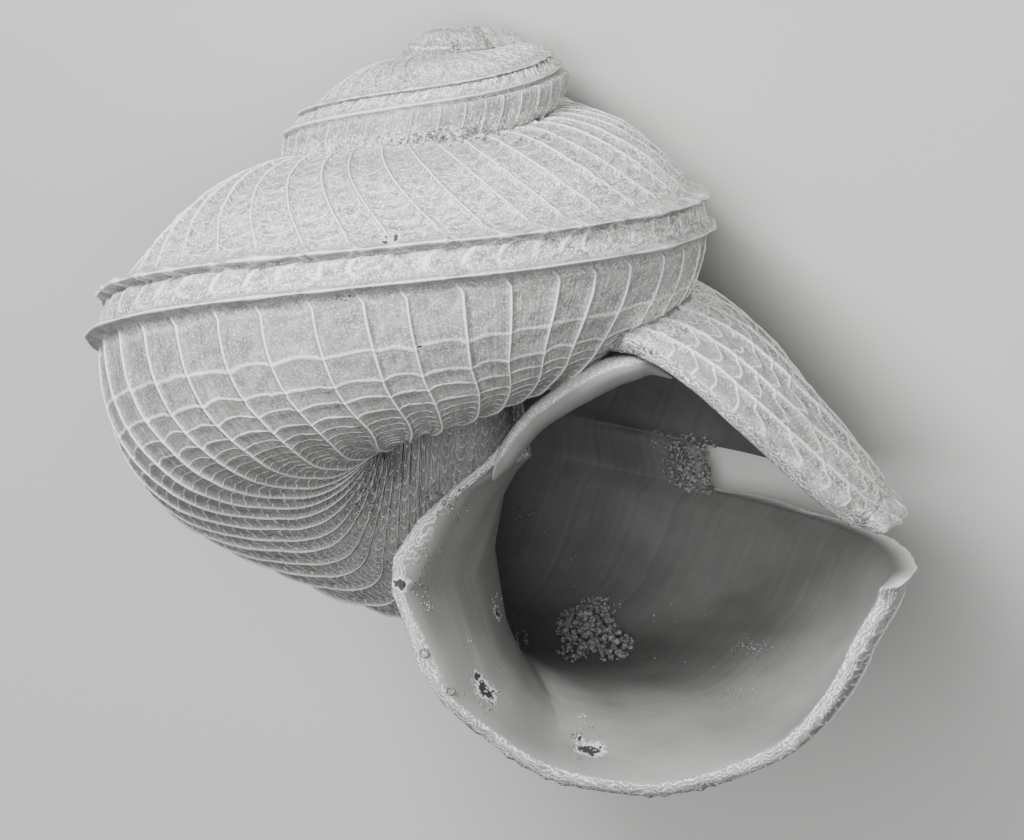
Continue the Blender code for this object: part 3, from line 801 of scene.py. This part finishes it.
grain = node(carving, M, {0: grain, 1: field["crust"]}, operation="MULTIPLY")
grain_rise = node(carving, M, {0: grain, 1: given["Grain Height"]}, operation="MULTIPLY")
along = node(carving, M, {0: field["growth"], 1: 0.9}, operation="MULTIPLY")
ripple = node(carving, "ShaderNodeTexNoise", {"W": along, "Scale": 1.0, "Detail": 3.0}, noise_dimensions="1D")
fin_rise = node(carving, M, {0: ripple, 1: 0.55}, operation="SUBTRACT")
for factor in (field["fin"], given["Fin Ripple"], 3 * MM):
    fin_rise = node(carving, M, {0: fin_rise, 1: factor}, operation="MULTIPLY")

# %% Move the points, keep the flat it lies on, and finish the tree
rise = net_rise
for more in (lunule_rise, grain_rise, fin_rise):
    rise = node(carving, M, {0: rise, 1: more}, operation="ADD")
lost = node(carving, M, {0: field["wear"], 1: given["Wear Depth"]}, operation="MULTIPLY")
rise = node(carving, M, {0: rise, 1: lost}, operation="SUBTRACT")
moved = node(carving, "ShaderNodeVectorMath", {0: outward, "Scale": rise}, operation="SCALE")
result = given["Geometry"]
for name, value in {"net": drift, "lunule": lunule, "grain": grain}.items():
    result = node(carving, "GeometryNodeStoreNamedAttribute", {
        "Geometry": result, "Name": name, "Value": value}, data_type="FLOAT", domain="POINT")
result = node(carving, "GeometryNodeSetPosition", {"Geometry": result, "Offset": moved})
lifted = node(carving, "ShaderNodeVectorMath", {0: where, 1: (-1.0, -1.0, 0.0)}, operation="MAXIMUM")
result = node(carving, "GeometryNodeSetPosition", {"Geometry": result, "Position": lifted})
result = node(carving, "GeometryNodeRealizeInstances", {"Geometry": result})
result = node(carving, "GeometryNodeSetMaterial", {"Geometry": result, "Material": given["Lime"]})
node(carving, "NodeGroupOutput", {"Geometry": result})
print("carving tree has", len(carving.nodes), "nodes")


# %% [markdown]
# ## The lime
#
# The shell is aragonite, a form of lime that the snail lays down in thin layers. Outside it is matt and
# grainy, inside it is smoother and a little darker, and painted shade darkens it further deep in the mouth.
# The picture is grey, so the lime is a neutral white grey. Crests get a painted highlight, a thin pale line,
# and the hollows between them keep the plain grey of the faces. The colour could be painted by hand, but it
# follows the same growth and thread numbers as the carving, so a pale line always lies on a crest. Growth
# lines only thousandths of a millimetre high are bump.

# %% Colours
def linear(code):
    """An sRGB hex colour as linear RGBA."""
    parts = [int(code[k:k + 2], 16) / 255 for k in (1, 3, 5)]
    return tuple(p / 12.92 if p <= 0.04045 else ((p + 0.055) / 1.055) ** 2.4 for p in parts) + (1.0,)


# Crest white is painted highlight on crests and edges, and also the colour of pale grains; the dark lining
# grey is painted shade mixed with random tone, and the chip grey is painted shade
CREST, FACE, HOLLOW, LINING, LINING_DARK, CHIP_SHADE = (
    linear(c) for c in ("#FAFAF8", "#949492", "#646463", "#8E8E8C", "#5A5A59", "#303030"))

# Sizes of the patterns: clouds of wear, flecks, torn rim layers, wide clouds, outlines of chips, and grit
CLOUD, FLECK, TORN, WIDE, RAGGED, GRIT = (size_mm * MM for size_mm in (0.25, 0.011, 0.05, 0.6, 0.035, 0.012))

# %% Matt shell lime
lime = bpy.data.materials.new("matt_shell_lime")
lime.use_nodes = True
t = lime.node_tree
surface = t.nodes["Principled BSDF"]
surface.inputs["IOR"].default_value = 1.55
surface.inputs["Roughness"].default_value = 0.6
read = {name: node(t, "ShaderNodeAttribute", output="Fac", attribute_name=name)
        for name in ("net", "lunule", "grain", "growth", "rib_lift", "thread_lift", "lining", "crust", "edge",
                     "wear", "layer", "deep")}
here = node(t, "ShaderNodeTexCoord", output="Object")

# Painted highlight: thin pale lines on the blades and threads, each fading with its feature's strength
lines = {}
for name, number, width, strength in (("blade", "growth", 0.055, 90.0), ("thread", "net", 0.115, 110.0)):
    at = crest(t, from_middle(t, read[number]), width)
    lift = read["rib_lift" if name == "blade" else "thread_lift"]
    lift = node(t, M, {0: lift, 1: strength}, operation="MULTIPLY", use_clamp=True)
    lines[name] = node(t, M, {0: at, 1: lift}, operation="MULTIPLY")

# Uneven clouds of wear break up the lines and the plain faces between them
cloud = node(t, "ShaderNodeTexNoise", {"Vector": here, "Scale": 1 / CLOUD, "Detail": 6.0, "Roughness": 0.6})
cloud = node(t, "ShaderNodeMapRange", {"Value": cloud, "From Min": 0.3, "From Max": 0.7})
fleck = node(t, "ShaderNodeTexNoise", {"Vector": here, "Scale": 1 / FLECK, "Detail": 2.0})
fleck = node(t, "ShaderNodeMapRange", {"Value": fleck, "From Min": 0.5, "From Max": 0.66})
fleck = node(t, M, {0: fleck, 1: read["crust"]}, operation="MULTIPLY")
strand = node(t, M, {0: read["growth"], 1: 9.0}, operation="MULTIPLY")
strand = node(t, "ShaderNodeTexNoise", {"W": strand, "Scale": 1.0, "Detail": 3.0}, noise_dimensions="1D")
striped = node(t, "ShaderNodeMapRange", {"Value": strand, "From Min": 0.35, "From Max": 0.65})
striped = node(t, "ShaderNodeMix", {"Factor": 0.45, 2: cloud, 3: striped})
face = node(t, "ShaderNodeMix", {"Factor": striped, 6: HOLLOW, 7: FACE}, output=2, data_type="RGBA")
worn = node(t, M, {0: cloud, 1: 0.5, 2: 0.5}, operation="MULTIPLY_ADD")
thread_line = node(t, M, {0: lines["thread"], 1: worn}, operation="MULTIPLY")
pale = node(t, M, {0: lines["blade"], 1: thread_line}, operation="MAXIMUM")
# Painted highlight also on the crests of the lunules and along the keels' edges
lunule_line = node(t, "ShaderNodeMapRange", {"Value": read["lunule"], "From Min": 0.35, "From Max": 0.9})
pale = node(t, M, {0: pale, 1: lunule_line}, operation="MAXIMUM")
pale = node(t, M, {0: pale, 1: read["edge"]}, operation="MAXIMUM")
grainy = node(t, M, {0: read["grain"], 1: 0.7}, operation="MULTIPLY", use_clamp=True)
pale = node(t, M, {0: pale, 1: grainy}, operation="MAXIMUM")

# The lip's edge shows the thin layers it was built of, as broken bright lines along it
torn = node(t, "ShaderNodeTexNoise", {"Vector": here, "Scale": 1 / TORN, "Detail": 4.0})
layers = node(t, M, {0: torn, 1: 1.2, 2: read["layer"]}, operation="MULTIPLY_ADD")
layers = node(t, M, {0: layers, 1: 4.0}, operation="MULTIPLY")
layers = node(t, M, {0: layers}, operation="FRACT")
layers = node(t, "ShaderNodeMapRange", {"Value": layers, "From Min": 0.6, "From Max": 0.95, "To Max": 0.8})
on_edge = node(t, M, {0: read["layer"], 1: 0.5}, operation="SUBTRACT")
on_edge = node(t, M, {0: on_edge}, operation="ABSOLUTE")
on_edge = node(t, "ShaderNodeMapRange", {"Value": on_edge, "From Min": 0.42, "From Max": 0.5, "To Min": 1.0,
               "To Max": 0.0})
layers = node(t, M, {0: layers, 1: on_edge}, operation="MULTIPLY")
pale = node(t, M, {0: pale, 1: layers}, operation="MAXIMUM")
pale = node(t, M, {0: fleck, 1: 0.75, 2: pale}, operation="MULTIPLY_ADD", use_clamp=True)
outer = node(t, "ShaderNodeMix", {"Factor": pale, 6: face, 7: CREST}, output=2, data_type="RGBA")

# Inside, painted shade darkens the lining with depth, and faint old lip lines run along it
wide = node(t, "ShaderNodeTexNoise", {"Vector": here, "Scale": 1 / WIDE, "Detail": 5.0, "Roughness": 0.55})
wide = node(t, "ShaderNodeMapRange", {"Value": wide, "From Min": 0.35, "From Max": 0.65, "To Min": -0.22,
            "To Max": 0.22})
shade_and_tone = node(t, M, {0: read["deep"], 1: 0.8, 2: wide}, operation="MULTIPLY_ADD")
old_line = node(t, M, {0: read["growth"], 1: 7.0}, operation="MULTIPLY")
old_line = node(t, "ShaderNodeTexNoise", {"W": old_line, "Scale": 1.0, "Detail": 3.0}, noise_dimensions="1D")
shade_and_tone = node(t, M, {0: old_line, 1: 0.35, 2: shade_and_tone}, operation="MULTIPLY_ADD", use_clamp=True)
lining = node(t, "ShaderNodeMix", {"Factor": shade_and_tone, 6: LINING, 7: LINING_DARK}, output=2, data_type="RGBA")
colour = node(t, "ShaderNodeMix", {"Factor": read["lining"], 6: outer, 7: lining}, output=2, data_type="RGBA")
# Painted shade: worn pits are darkened towards the dark lining grey
worn_pit_shade = node(t, M, {0: read["wear"], 1: 0.5}, operation="MULTIPLY")
colour = node(t, "ShaderNodeMix", {"Factor": worn_pit_shade, 6: colour, 7: LINING_DARK}, output=2, data_type="RGBA")

# Chips: painted shade makes a dark ragged hollow at each place of wear, with a painted highlight on its
# broken edge
ragged = node(t, "ShaderNodeTexNoise", {"Vector": here, "Scale": 1 / RAGGED, "Detail": 5.0}, output="Color")
ragged = node(t, "ShaderNodeVectorMath", {0: ragged, 1: (0.5, 0.5, 0.5)}, operation="SUBTRACT")
ragged = node(t, "ShaderNodeVectorMath", {0: ragged, "Scale": 0.11 * MM}, operation="SCALE")
ragged = node(t, "ShaderNodeVectorMath", {0: here, 1: ragged}, operation="ADD")
apart = None
for spot, reach in pits:
    away = node(t, "ShaderNodeVectorMath", {0: ragged, 1: spot}, output="Value", operation="DISTANCE")
    away = node(t, M, {0: away, 1: reach}, operation="DIVIDE")
    apart = node(t, M, {0: away, 1: apart}, operation="MINIMUM") if apart else away
chip_shade = node(t, "ShaderNodeMapRange", {"Value": apart, "From Min": 0.75, "To Min": 1.0, "To Max": 0.0})
chip_edge_highlight = node(t, "ShaderNodeMapRange", {"Value": apart, "From Min": 1.05, "From Max": 1.4, "To Min": 0.55,
                 "To Max": 0.0})
colour = node(t, "ShaderNodeMix", {"Factor": chip_edge_highlight, 6: colour, 7: CREST}, output=2, data_type="RGBA")
colour = node(t, "ShaderNodeMix", {"Factor": chip_shade, 6: colour, 7: CHIP_SHADE}, output=2, data_type="RGBA")
t.links.new(colour, surface.inputs["Base Color"])

# Bump: blades and threads, growth lines, and grit
grit = node(t, "ShaderNodeTexNoise", {"Vector": here, "Scale": 1 / GRIT, "Detail": 3.0})
grit = node(t, M, {0: grit, 1: read["crust"]}, operation="MULTIPLY")
fine = node(t, M, {0: strand, 1: 0.9, 2: grit}, operation="MULTIPLY_ADD")
fine = node(t, M, {0: thread_line, 1: 0.7, 2: fine}, operation="MULTIPLY_ADD")
fine = node(t, M, {0: lines["blade"], 1: 0.9, 2: fine}, operation="MULTIPLY_ADD")
outside = node(t, M, {0: 1.0, 1: read["lining"]}, operation="SUBTRACT")
fine = node(t, M, {0: fine, 1: outside}, operation="MULTIPLY")
bump = node(t, "ShaderNodeBump", {"Height": fine, "Distance": 0.006 * MM, "Strength": 1.0})
t.links.new(bump, surface.inputs["Normal"])
print("lime has", len(t.nodes), "nodes")

# %% Carve the shell
carve = smooth_shell.modifiers.new("carving", "NODES")
carve.node_group = carving
for item in carving.interface.items_tree:
    if item.in_out == "INPUT" and item.name == "Lime":
        carve[item.identifier] = lime
graph = bpy.context.evaluated_depsgraph_get()
carved = bpy.data.meshes.new_from_object(smooth_shell.evaluated_get(graph), depsgraph=graph)
carved.name = "slit_shell"
shell = bpy.data.objects.new("slit_shell", carved)
bpy.context.scene.collection.objects.link(shell)
bpy.data.objects.remove(smooth_shell)
carved.calc_loop_triangles()
print("carved shell has", len(carved.loop_triangles), "triangles")


# %% [markdown]
# ## The callus of the inner lip
#
# Where the lip crosses the turn above, the snail laid a thick, smooth band of lime on it, the callus. It
# follows a path, so Geometry Nodes sweep a flattened round along it. The path runs along the mouth's
# edge as it is seen, and its depth goes from the turn that carries it to the top of the folded plate. It
# could be modelled by hand, but a swept band is easy to make thicker or thinner.

# %% Path of the callus
# Pixel of the band's middle, half of its width in pixels, and how near it is in millimetres
CALLUS = (
    (671, 378, 1.5, 0.69), (650, 368, 8, 0.72), (633, 368, 13, 0.72), (616, 371, 15, 0.71),
    (601, 377, 16, 0.70), (586, 385, 16, 0.69), (571, 394, 15, 0.67), (556, 404, 14, 0.64),
    (542, 414, 13, 0.61), (530, 425, 12, 0.57), (520, 437, 12, 0.54), (511, 450, 11, 0.51),
    (503, 463, 9, 0.48), (493, 480, 1.5, 0.44))
table = smooth_table(range(len(CALLUS)), CALLUS, np.linspace(0, len(CALLUS) - 1, 70))
path = [laid_down(seen_at(px, py, near)) for px, py, _, near in table]
path_mesh = bpy.data.meshes.new("callus_path")
path_mesh.from_pydata([tuple(p) for p in path], [(k, k + 1) for k in range(len(path) - 1)], [])
path_mesh.attributes.new("half_width", "FLOAT", "POINT").data.foreach_set(
    "value", (table[:, 2] * PIXEL * MM).astype(np.float32))
callus_path = bpy.data.objects.new("callus_path", path_mesh)
bpy.context.scene.collection.objects.link(callus_path)
print("callus is", round(float(table[:, 2].max() * 2 * PIXEL), 3), "mm wide")


# %% One helper bakes a tree's result to a plain mesh
def baked(source, tree, name, values):
    """Give an object the tree with these input values, and turn the result into a new plain object."""
    modifier = source.modifiers.new(tree.name, "NODES")
    modifier.node_group = tree
    for item in tree.interface.items_tree:
        if item.in_out == "INPUT" and item.name in values:
            modifier[item.identifier] = values[item.name]
    graph = bpy.context.evaluated_depsgraph_get()
    result = bpy.data.meshes.new_from_object(source.evaluated_get(graph), depsgraph=graph)
    result.name = name
    bpy.data.objects.remove(source)
    made = bpy.data.objects.new(name, result)
    bpy.context.scene.collection.objects.link(made)
    result.calc_loop_triangles()
    print(name, "has", len(result.loop_triangles), "triangles")
    return made


def tree_with(name, sockets):
    """A new node tree with a geometry in and out, and these further inputs."""
    tree = bpy.data.node_groups.new(name, "GeometryNodeTree")
    tree.interface.new_socket("Geometry", in_out="INPUT", socket_type="NodeSocketGeometry")
    for label, value in sockets.items():
        kind = "NodeSocketMaterial" if value is None else "NodeSocketVector" if isinstance(value, tuple) \
            else "NodeSocketFloat"
        socket = tree.interface.new_socket(label, in_out="INPUT", socket_type=kind)
        if value is not None:
            socket.default_value = value
    tree.interface.new_socket("Geometry", in_out="OUTPUT", socket_type="NodeSocketGeometry")
    return tree, tree.nodes.new("NodeGroupInput").outputs


# %% The sweeping tree
facing = tuple(float(v) for v in TURNED @ TOWARD)
lit_outer_side = tuple(float(v) for v in TURNED @ (UPWARD * 0.85 - ACROSS * 0.5))
sweep, given = tree_with("lip_callus", {
    "Facing": facing, "Lit Outer Side": lit_outer_side, "Depth": 2.4, "Waviness": 0.007 * MM, "Seed": 2.0,
    "Lime": None})
curve = node(sweep, "GeometryNodeMeshToCurve", {"Mesh": given["Geometry"]})
curve = node(sweep, "GeometryNodeSetCurveNormal", {"Curve": curve, "Normal": given["Facing"]}, mode="FREE")
half_width = node(sweep, "GeometryNodeInputNamedAttribute", {"Name": "half_width"})
section = node(sweep, "GeometryNodeCurvePrimitiveCircle", {"Resolution": 24, "Radius": 1.0})
stretch = node(sweep, "ShaderNodeCombineXYZ", {"X": given["Depth"], "Y": 1.0, "Z": 1.0})
section = node(sweep, "GeometryNodeTransform", {"Geometry": section, "Scale": stretch})
band = node(sweep, "GeometryNodeCurveToMesh", {"Curve": curve, "Profile Curve": section, "Scale": half_width,
            "Fill Caps": True})
# The side turned away from the mouth, which faces the main light, gets grains and a painted highlight; the
# mouth side takes the lining grey
turned_out = node(sweep, "ShaderNodeVectorMath", {0: node(sweep, "GeometryNodeInputNormal"),
                  1: given["Lit Outer Side"]}, output="Value", operation="DOT_PRODUCT")
outside = node(sweep, "ShaderNodeMapRange", {"Value": turned_out, "From Min": 0.05, "From Max": 0.45})
mouth_side = node(sweep, M, {0: 1.0, 1: outside}, operation="SUBTRACT")
bright = node(sweep, M, {0: outside, 1: 0.45}, operation="MULTIPLY")
for name, value in {"lining": mouth_side, "crust": outside, "edge": bright}.items():
    band = node(sweep, "GeometryNodeStoreNamedAttribute", {"Geometry": band, "Name": name, "Value": value},
                data_type="FLOAT", domain="POINT")
waves = node(sweep, "ShaderNodeTexNoise", {"Vector": node(sweep, "GeometryNodeInputPosition"),
             "W": given["Seed"], "Scale": 1 / (0.06 * MM), "Detail": 3.0}, noise_dimensions="4D")
waves = node(sweep, M, {0: waves, 1: 0.5}, operation="SUBTRACT")
waves = node(sweep, M, {0: waves, 1: given["Waviness"]}, operation="MULTIPLY")
waves = node(sweep, "ShaderNodeVectorMath", {0: node(sweep, "GeometryNodeInputNormal"), "Scale": waves},
             operation="SCALE")
band = node(sweep, "GeometryNodeSetPosition", {"Geometry": band, "Offset": waves})
band = node(sweep, "GeometryNodeRealizeInstances", {"Geometry": band})
band = node(sweep, "GeometryNodeSetMaterial", {"Geometry": band, "Material": given["Lime"]})
node(sweep, "NodeGroupOutput", {"Geometry": band})
callus = baked(callus_path, sweep, "inner_lip_callus", {"Lime": lime})

# %% [markdown]
# ## What lies on the shell
#
# The shell wasn't washed clean. Fine mud dried to a crumbly lump in the mouth, crusts the inner end of
# the slit and clings under the spire, and small settlers left rings on the folded plate. Each crumb is
# set where a line of sight meets the shell, so it lies on the skin, and Geometry Nodes scatter a lumpy
# ball or a ring at each place.

# %% Places of the crumbs and rings
# Middle and half sizes of a patch in pixels, number of crumbs, their radii and the patch's height in mm
PATCHES = (
    (586, 628, 30, 22, 150, 0.009, 0.026, 0.050), (612, 645, 22, 17, 90, 0.008, 0.022, 0.035),
    (574, 652, 17, 11, 60, 0.006, 0.018, 0.015), (600, 606, 20, 10, 60, 0.006, 0.016, 0.010),
    (692, 462, 30, 30, 190, 0.007, 0.019, 0.022), (700, 480, 18, 16, 70, 0.006, 0.016, 0.010),
    (662, 444, 14, 16, 40, 0.005, 0.010, 0.0), (524, 512, 16, 9, 46, 0.004, 0.008, 0.0),
    (521, 639, 8, 9, 18, 0.005, 0.011, 0.004), (497, 606, 7, 14, 24, 0.004, 0.009, 0.0),
    (752, 648, 22, 14, 60, 0.003, 0.006, 0.0), (742, 697, 24, 12, 60, 0.003, 0.006, 0.0),
    (586, 740, 20, 22, 60, 0.004, 0.010, 0.0), (486, 698, 16, 18, 40, 0.004, 0.009, 0.0),
    (640, 590, 130, 110, 60, 0.002, 0.005, 0.0), (448, 500, 26, 22, 60, 0.004, 0.010, 0.0),
    (560, 540, 60, 90, 30, 0.002, 0.005, 0.0), (465, 137, 95, 9, 110, 0.005, 0.011, 0.0),
    (640, 352, 22, 10, 40, 0.004, 0.009, 0.0), (420, 580, 14, 40, 40, 0.004, 0.008, 0.0))
# Middle of a ring in pixels and its radius in mm
RINGS = ((424, 653, 0.019), (435, 635, 0.010), (450, 691, 0.018), (462, 693, 0.011), (440, 551, 0.012),
         (421, 552, 0.010), (470, 640, 0.011), (431, 607, 0.012))

carved_tree = BVHTree.FromPolygons([v.co for v in carved.vertices], [p.vertices[:] for p in carved.polygons])
places = []
for px, py, half_x, half_y, count, small, large, pile in PATCHES:
    for _ in range(count):
        angle, part = draw.uniform(0, 2 * math.pi), math.sqrt(draw.uniform())
        aim_x, aim_y = px + half_x * part * math.cos(angle), py + half_y * part * math.sin(angle)
        spot, normal = landed(carved_tree, aim_x, aim_y)
        grain_radius = draw.uniform(small, large) * (1.1 - 0.5 * part)
        lift = draw.uniform() * pile * (1 - part * part) + 0.2 * grain_radius
        if spot is not None:
            places.append((spot + normal * lift * MM, normal, grain_radius * MM, 0))
for px, py, ring_radius in RINGS:
    spot, normal = landed(carved_tree, px, py)
    if spot is not None:
        places.append((spot, normal, ring_radius * MM, 1))
spots, normals, sizes, kinds = zip(*places)
place_mesh = bpy.data.meshes.new("crumb_places")
place_mesh.from_pydata([tuple(s) for s in spots], [], [])
place_mesh.attributes.new("facing", "FLOAT_VECTOR", "POINT").data.foreach_set(
    "vector", np.array([tuple(n) for n in normals], np.float32).ravel())
for name, values in {"grain_size": sizes, "ring": kinds}.items():
    place_mesh.attributes.new(name, "FLOAT", "POINT").data.foreach_set("value", np.array(values, np.float32))
crumb_places = bpy.data.objects.new("crumb_places", place_mesh)
bpy.context.scene.collection.objects.link(crumb_places)
print("crumbs and rings", len(spots))

# %% Dried mud: lime mud is matt, a little darker than clean shell, with pale grains
mud = bpy.data.materials.new("dried_lime_mud")
mud.use_nodes = True
m = mud.node_tree
m.nodes["Principled BSDF"].inputs["Roughness"].default_value = 0.85
spotted = node(m, "ShaderNodeTexNoise", {"Vector": node(m, "ShaderNodeTexCoord", output="Object"),
               "Scale": 1 / GRIT, "Detail": 3.0})
spotted = node(m, "ShaderNodeMapRange", {"Value": spotted, "From Min": 0.4, "From Max": 0.62})
spotted = node(m, "ShaderNodeMix", {"Factor": spotted, 6: linear("#5C5C5B"), 7: linear("#9A9A98")}, output=2,
               data_type="RGBA")
m.links.new(spotted, m.nodes["Principled BSDF"].inputs["Base Color"])

# %% The scattering tree
scatter, given = tree_with("crumbs_and_rings", {
    "Lumpiness": 0.9, "Ring Thickness": 0.3, "Seed": 7.0, "Mud": None})
ring_here = node(scatter, "GeometryNodeInputNamedAttribute", {"Name": "ring"})
grain_size = node(scatter, "GeometryNodeInputNamedAttribute", {"Name": "grain_size"})
upright = node(scatter, "GeometryNodeInputNamedAttribute", {"Name": "facing"}, data_type="FLOAT_VECTOR")
lump = node(scatter, "GeometryNodeMeshIcoSphere", {"Radius": 1.0, "Subdivisions": 2})
lumpy = node(scatter, "ShaderNodeTexNoise", {"W": given["Seed"], "Scale": 1.3, "Detail": 1.0},
             noise_dimensions="4D")
lumpy = node(scatter, M, {0: lumpy, 1: given["Lumpiness"], 2: 0.55}, operation="MULTIPLY_ADD")
lumpy = node(scatter, "ShaderNodeVectorMath", {0: node(scatter, "GeometryNodeInputPosition"), "Scale": lumpy},
             operation="SCALE")
lump = node(scatter, "GeometryNodeSetPosition", {"Geometry": lump, "Position": lumpy})
any_way = node(scatter, "FunctionNodeRandomValue", {"Max": (6.28, 6.28, 6.28)}, data_type="FLOAT_VECTOR")
is_crumb = node(scatter, "FunctionNodeCompare", {"A": ring_here, "B": 0.5}, operation="LESS_THAN")
is_ring = node(scatter, "FunctionNodeCompare", {"A": ring_here, "B": 0.5}, operation="GREATER_THAN")
crumbs = node(scatter, "GeometryNodeInstanceOnPoints", {"Points": given["Geometry"], "Selection": is_crumb,
              "Instance": lump, "Rotation": any_way, "Scale": grain_size})
loop = node(scatter, "GeometryNodeCurvePrimitiveCircle", {"Resolution": 16, "Radius": 1.0})
wire = node(scatter, "GeometryNodeCurvePrimitiveCircle", {"Resolution": 6, "Radius": given["Ring Thickness"]})
loop = node(scatter, "GeometryNodeCurveToMesh", {"Curve": loop, "Profile Curve": wire})
lying = node(scatter, "FunctionNodeAlignRotationToVector", {"Vector": upright}, axis="Z")
rings = node(scatter, "GeometryNodeInstanceOnPoints", {"Points": given["Geometry"], "Selection": is_ring,
             "Instance": loop, "Rotation": lying, "Scale": grain_size})
both = scatter.nodes.new("GeometryNodeJoinGeometry")
scatter.links.new(crumbs, both.inputs["Geometry"])
scatter.links.new(rings, both.inputs["Geometry"])
loose_bits = node(scatter, "GeometryNodeRealizeInstances", {"Geometry": both.outputs["Geometry"]})
loose_bits = node(scatter, "GeometryNodeSetMaterial", {"Geometry": loose_bits, "Material": given["Mud"]})
node(scatter, "NodeGroupOutput", {"Geometry": loose_bits})
bits = baked(crumb_places, scatter, "mud_crumbs_and_rings", {"Mud": mud})


# %% [markdown]
# ## Light and floor
#
# The ribs show best in light that grazes them, and the mouth needs a soft fill. A large panel at the
# picture's upper left gives the main light, a second one fills from the viewer's side, and the pale
# world lifts the shadows. The floor is one plain pale sheet.

# %% Floor and lamps
MIDDLE = Vector(laid_down(seen_at(*PICTURE_MIDDLE)))


def panel(name, toward, far, side, power):
    """A square soft lamp that shines at the shell; its direction is given as right, up, nearer."""
    lamp = bpy.data.lights.new(name, "AREA")
    lamp.energy, lamp.size = power, side * MM
    holder = bpy.data.objects.new(name, lamp)
    bpy.context.scene.collection.objects.link(holder)
    seen = toward[0] * ACROSS + toward[1] * UPWARD + toward[2] * TOWARD
    direction = Vector(TURNED @ seen).normalized()
    holder.location = MIDDLE + direction * far * MM
    holder.rotation_mode = "QUATERNION"
    holder.rotation_quaternion = direction.to_track_quat("Z", "Y")


panel("main_light", (-0.55, 0.62, 0.80), 40, 14, 0.030)
panel("fill_light", (-0.2, -0.05, 1.0), 45, 26, 0.016)
world = bpy.data.worlds.new("studio")
world.use_nodes = True
world.node_tree.nodes["Background"].inputs["Color"].default_value = (0.8, 0.8, 0.8, 1.0)
world.node_tree.nodes["Background"].inputs["Strength"].default_value = 0.32
bpy.context.scene.world = world

FLOOR = 0.2          # half of the floor's width, in metres
floor_mesh = bpy.data.meshes.new("floor")
floor_mesh.from_pydata([(x * FLOOR, y * FLOOR, 0) for x, y in ((-1, -1), (1, -1), (1, 1), (-1, 1))], [],
                       [(0, 1, 2, 3)])
floor = bpy.data.objects.new("floor", floor_mesh)
bpy.context.scene.collection.objects.link(floor)
paper = bpy.data.materials.new("matt_pale_paper")
paper.use_nodes = True
paper.node_tree.nodes["Principled BSDF"].inputs["Base Color"].default_value = linear("#DCDCDA")
paper.node_tree.nodes["Principled BSDF"].inputs["Roughness"].default_value = 0.9
floor_mesh.materials.append(paper)


# %% [markdown]
# ## Hand over
#
# The carved shell stands for the solid and takes its finish from the lime. All pieces ride on the one body.

# %% Ride, and hide the solid's shell
for piece in (shell, callus, bits):
    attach(piece, "root")
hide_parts("shell")
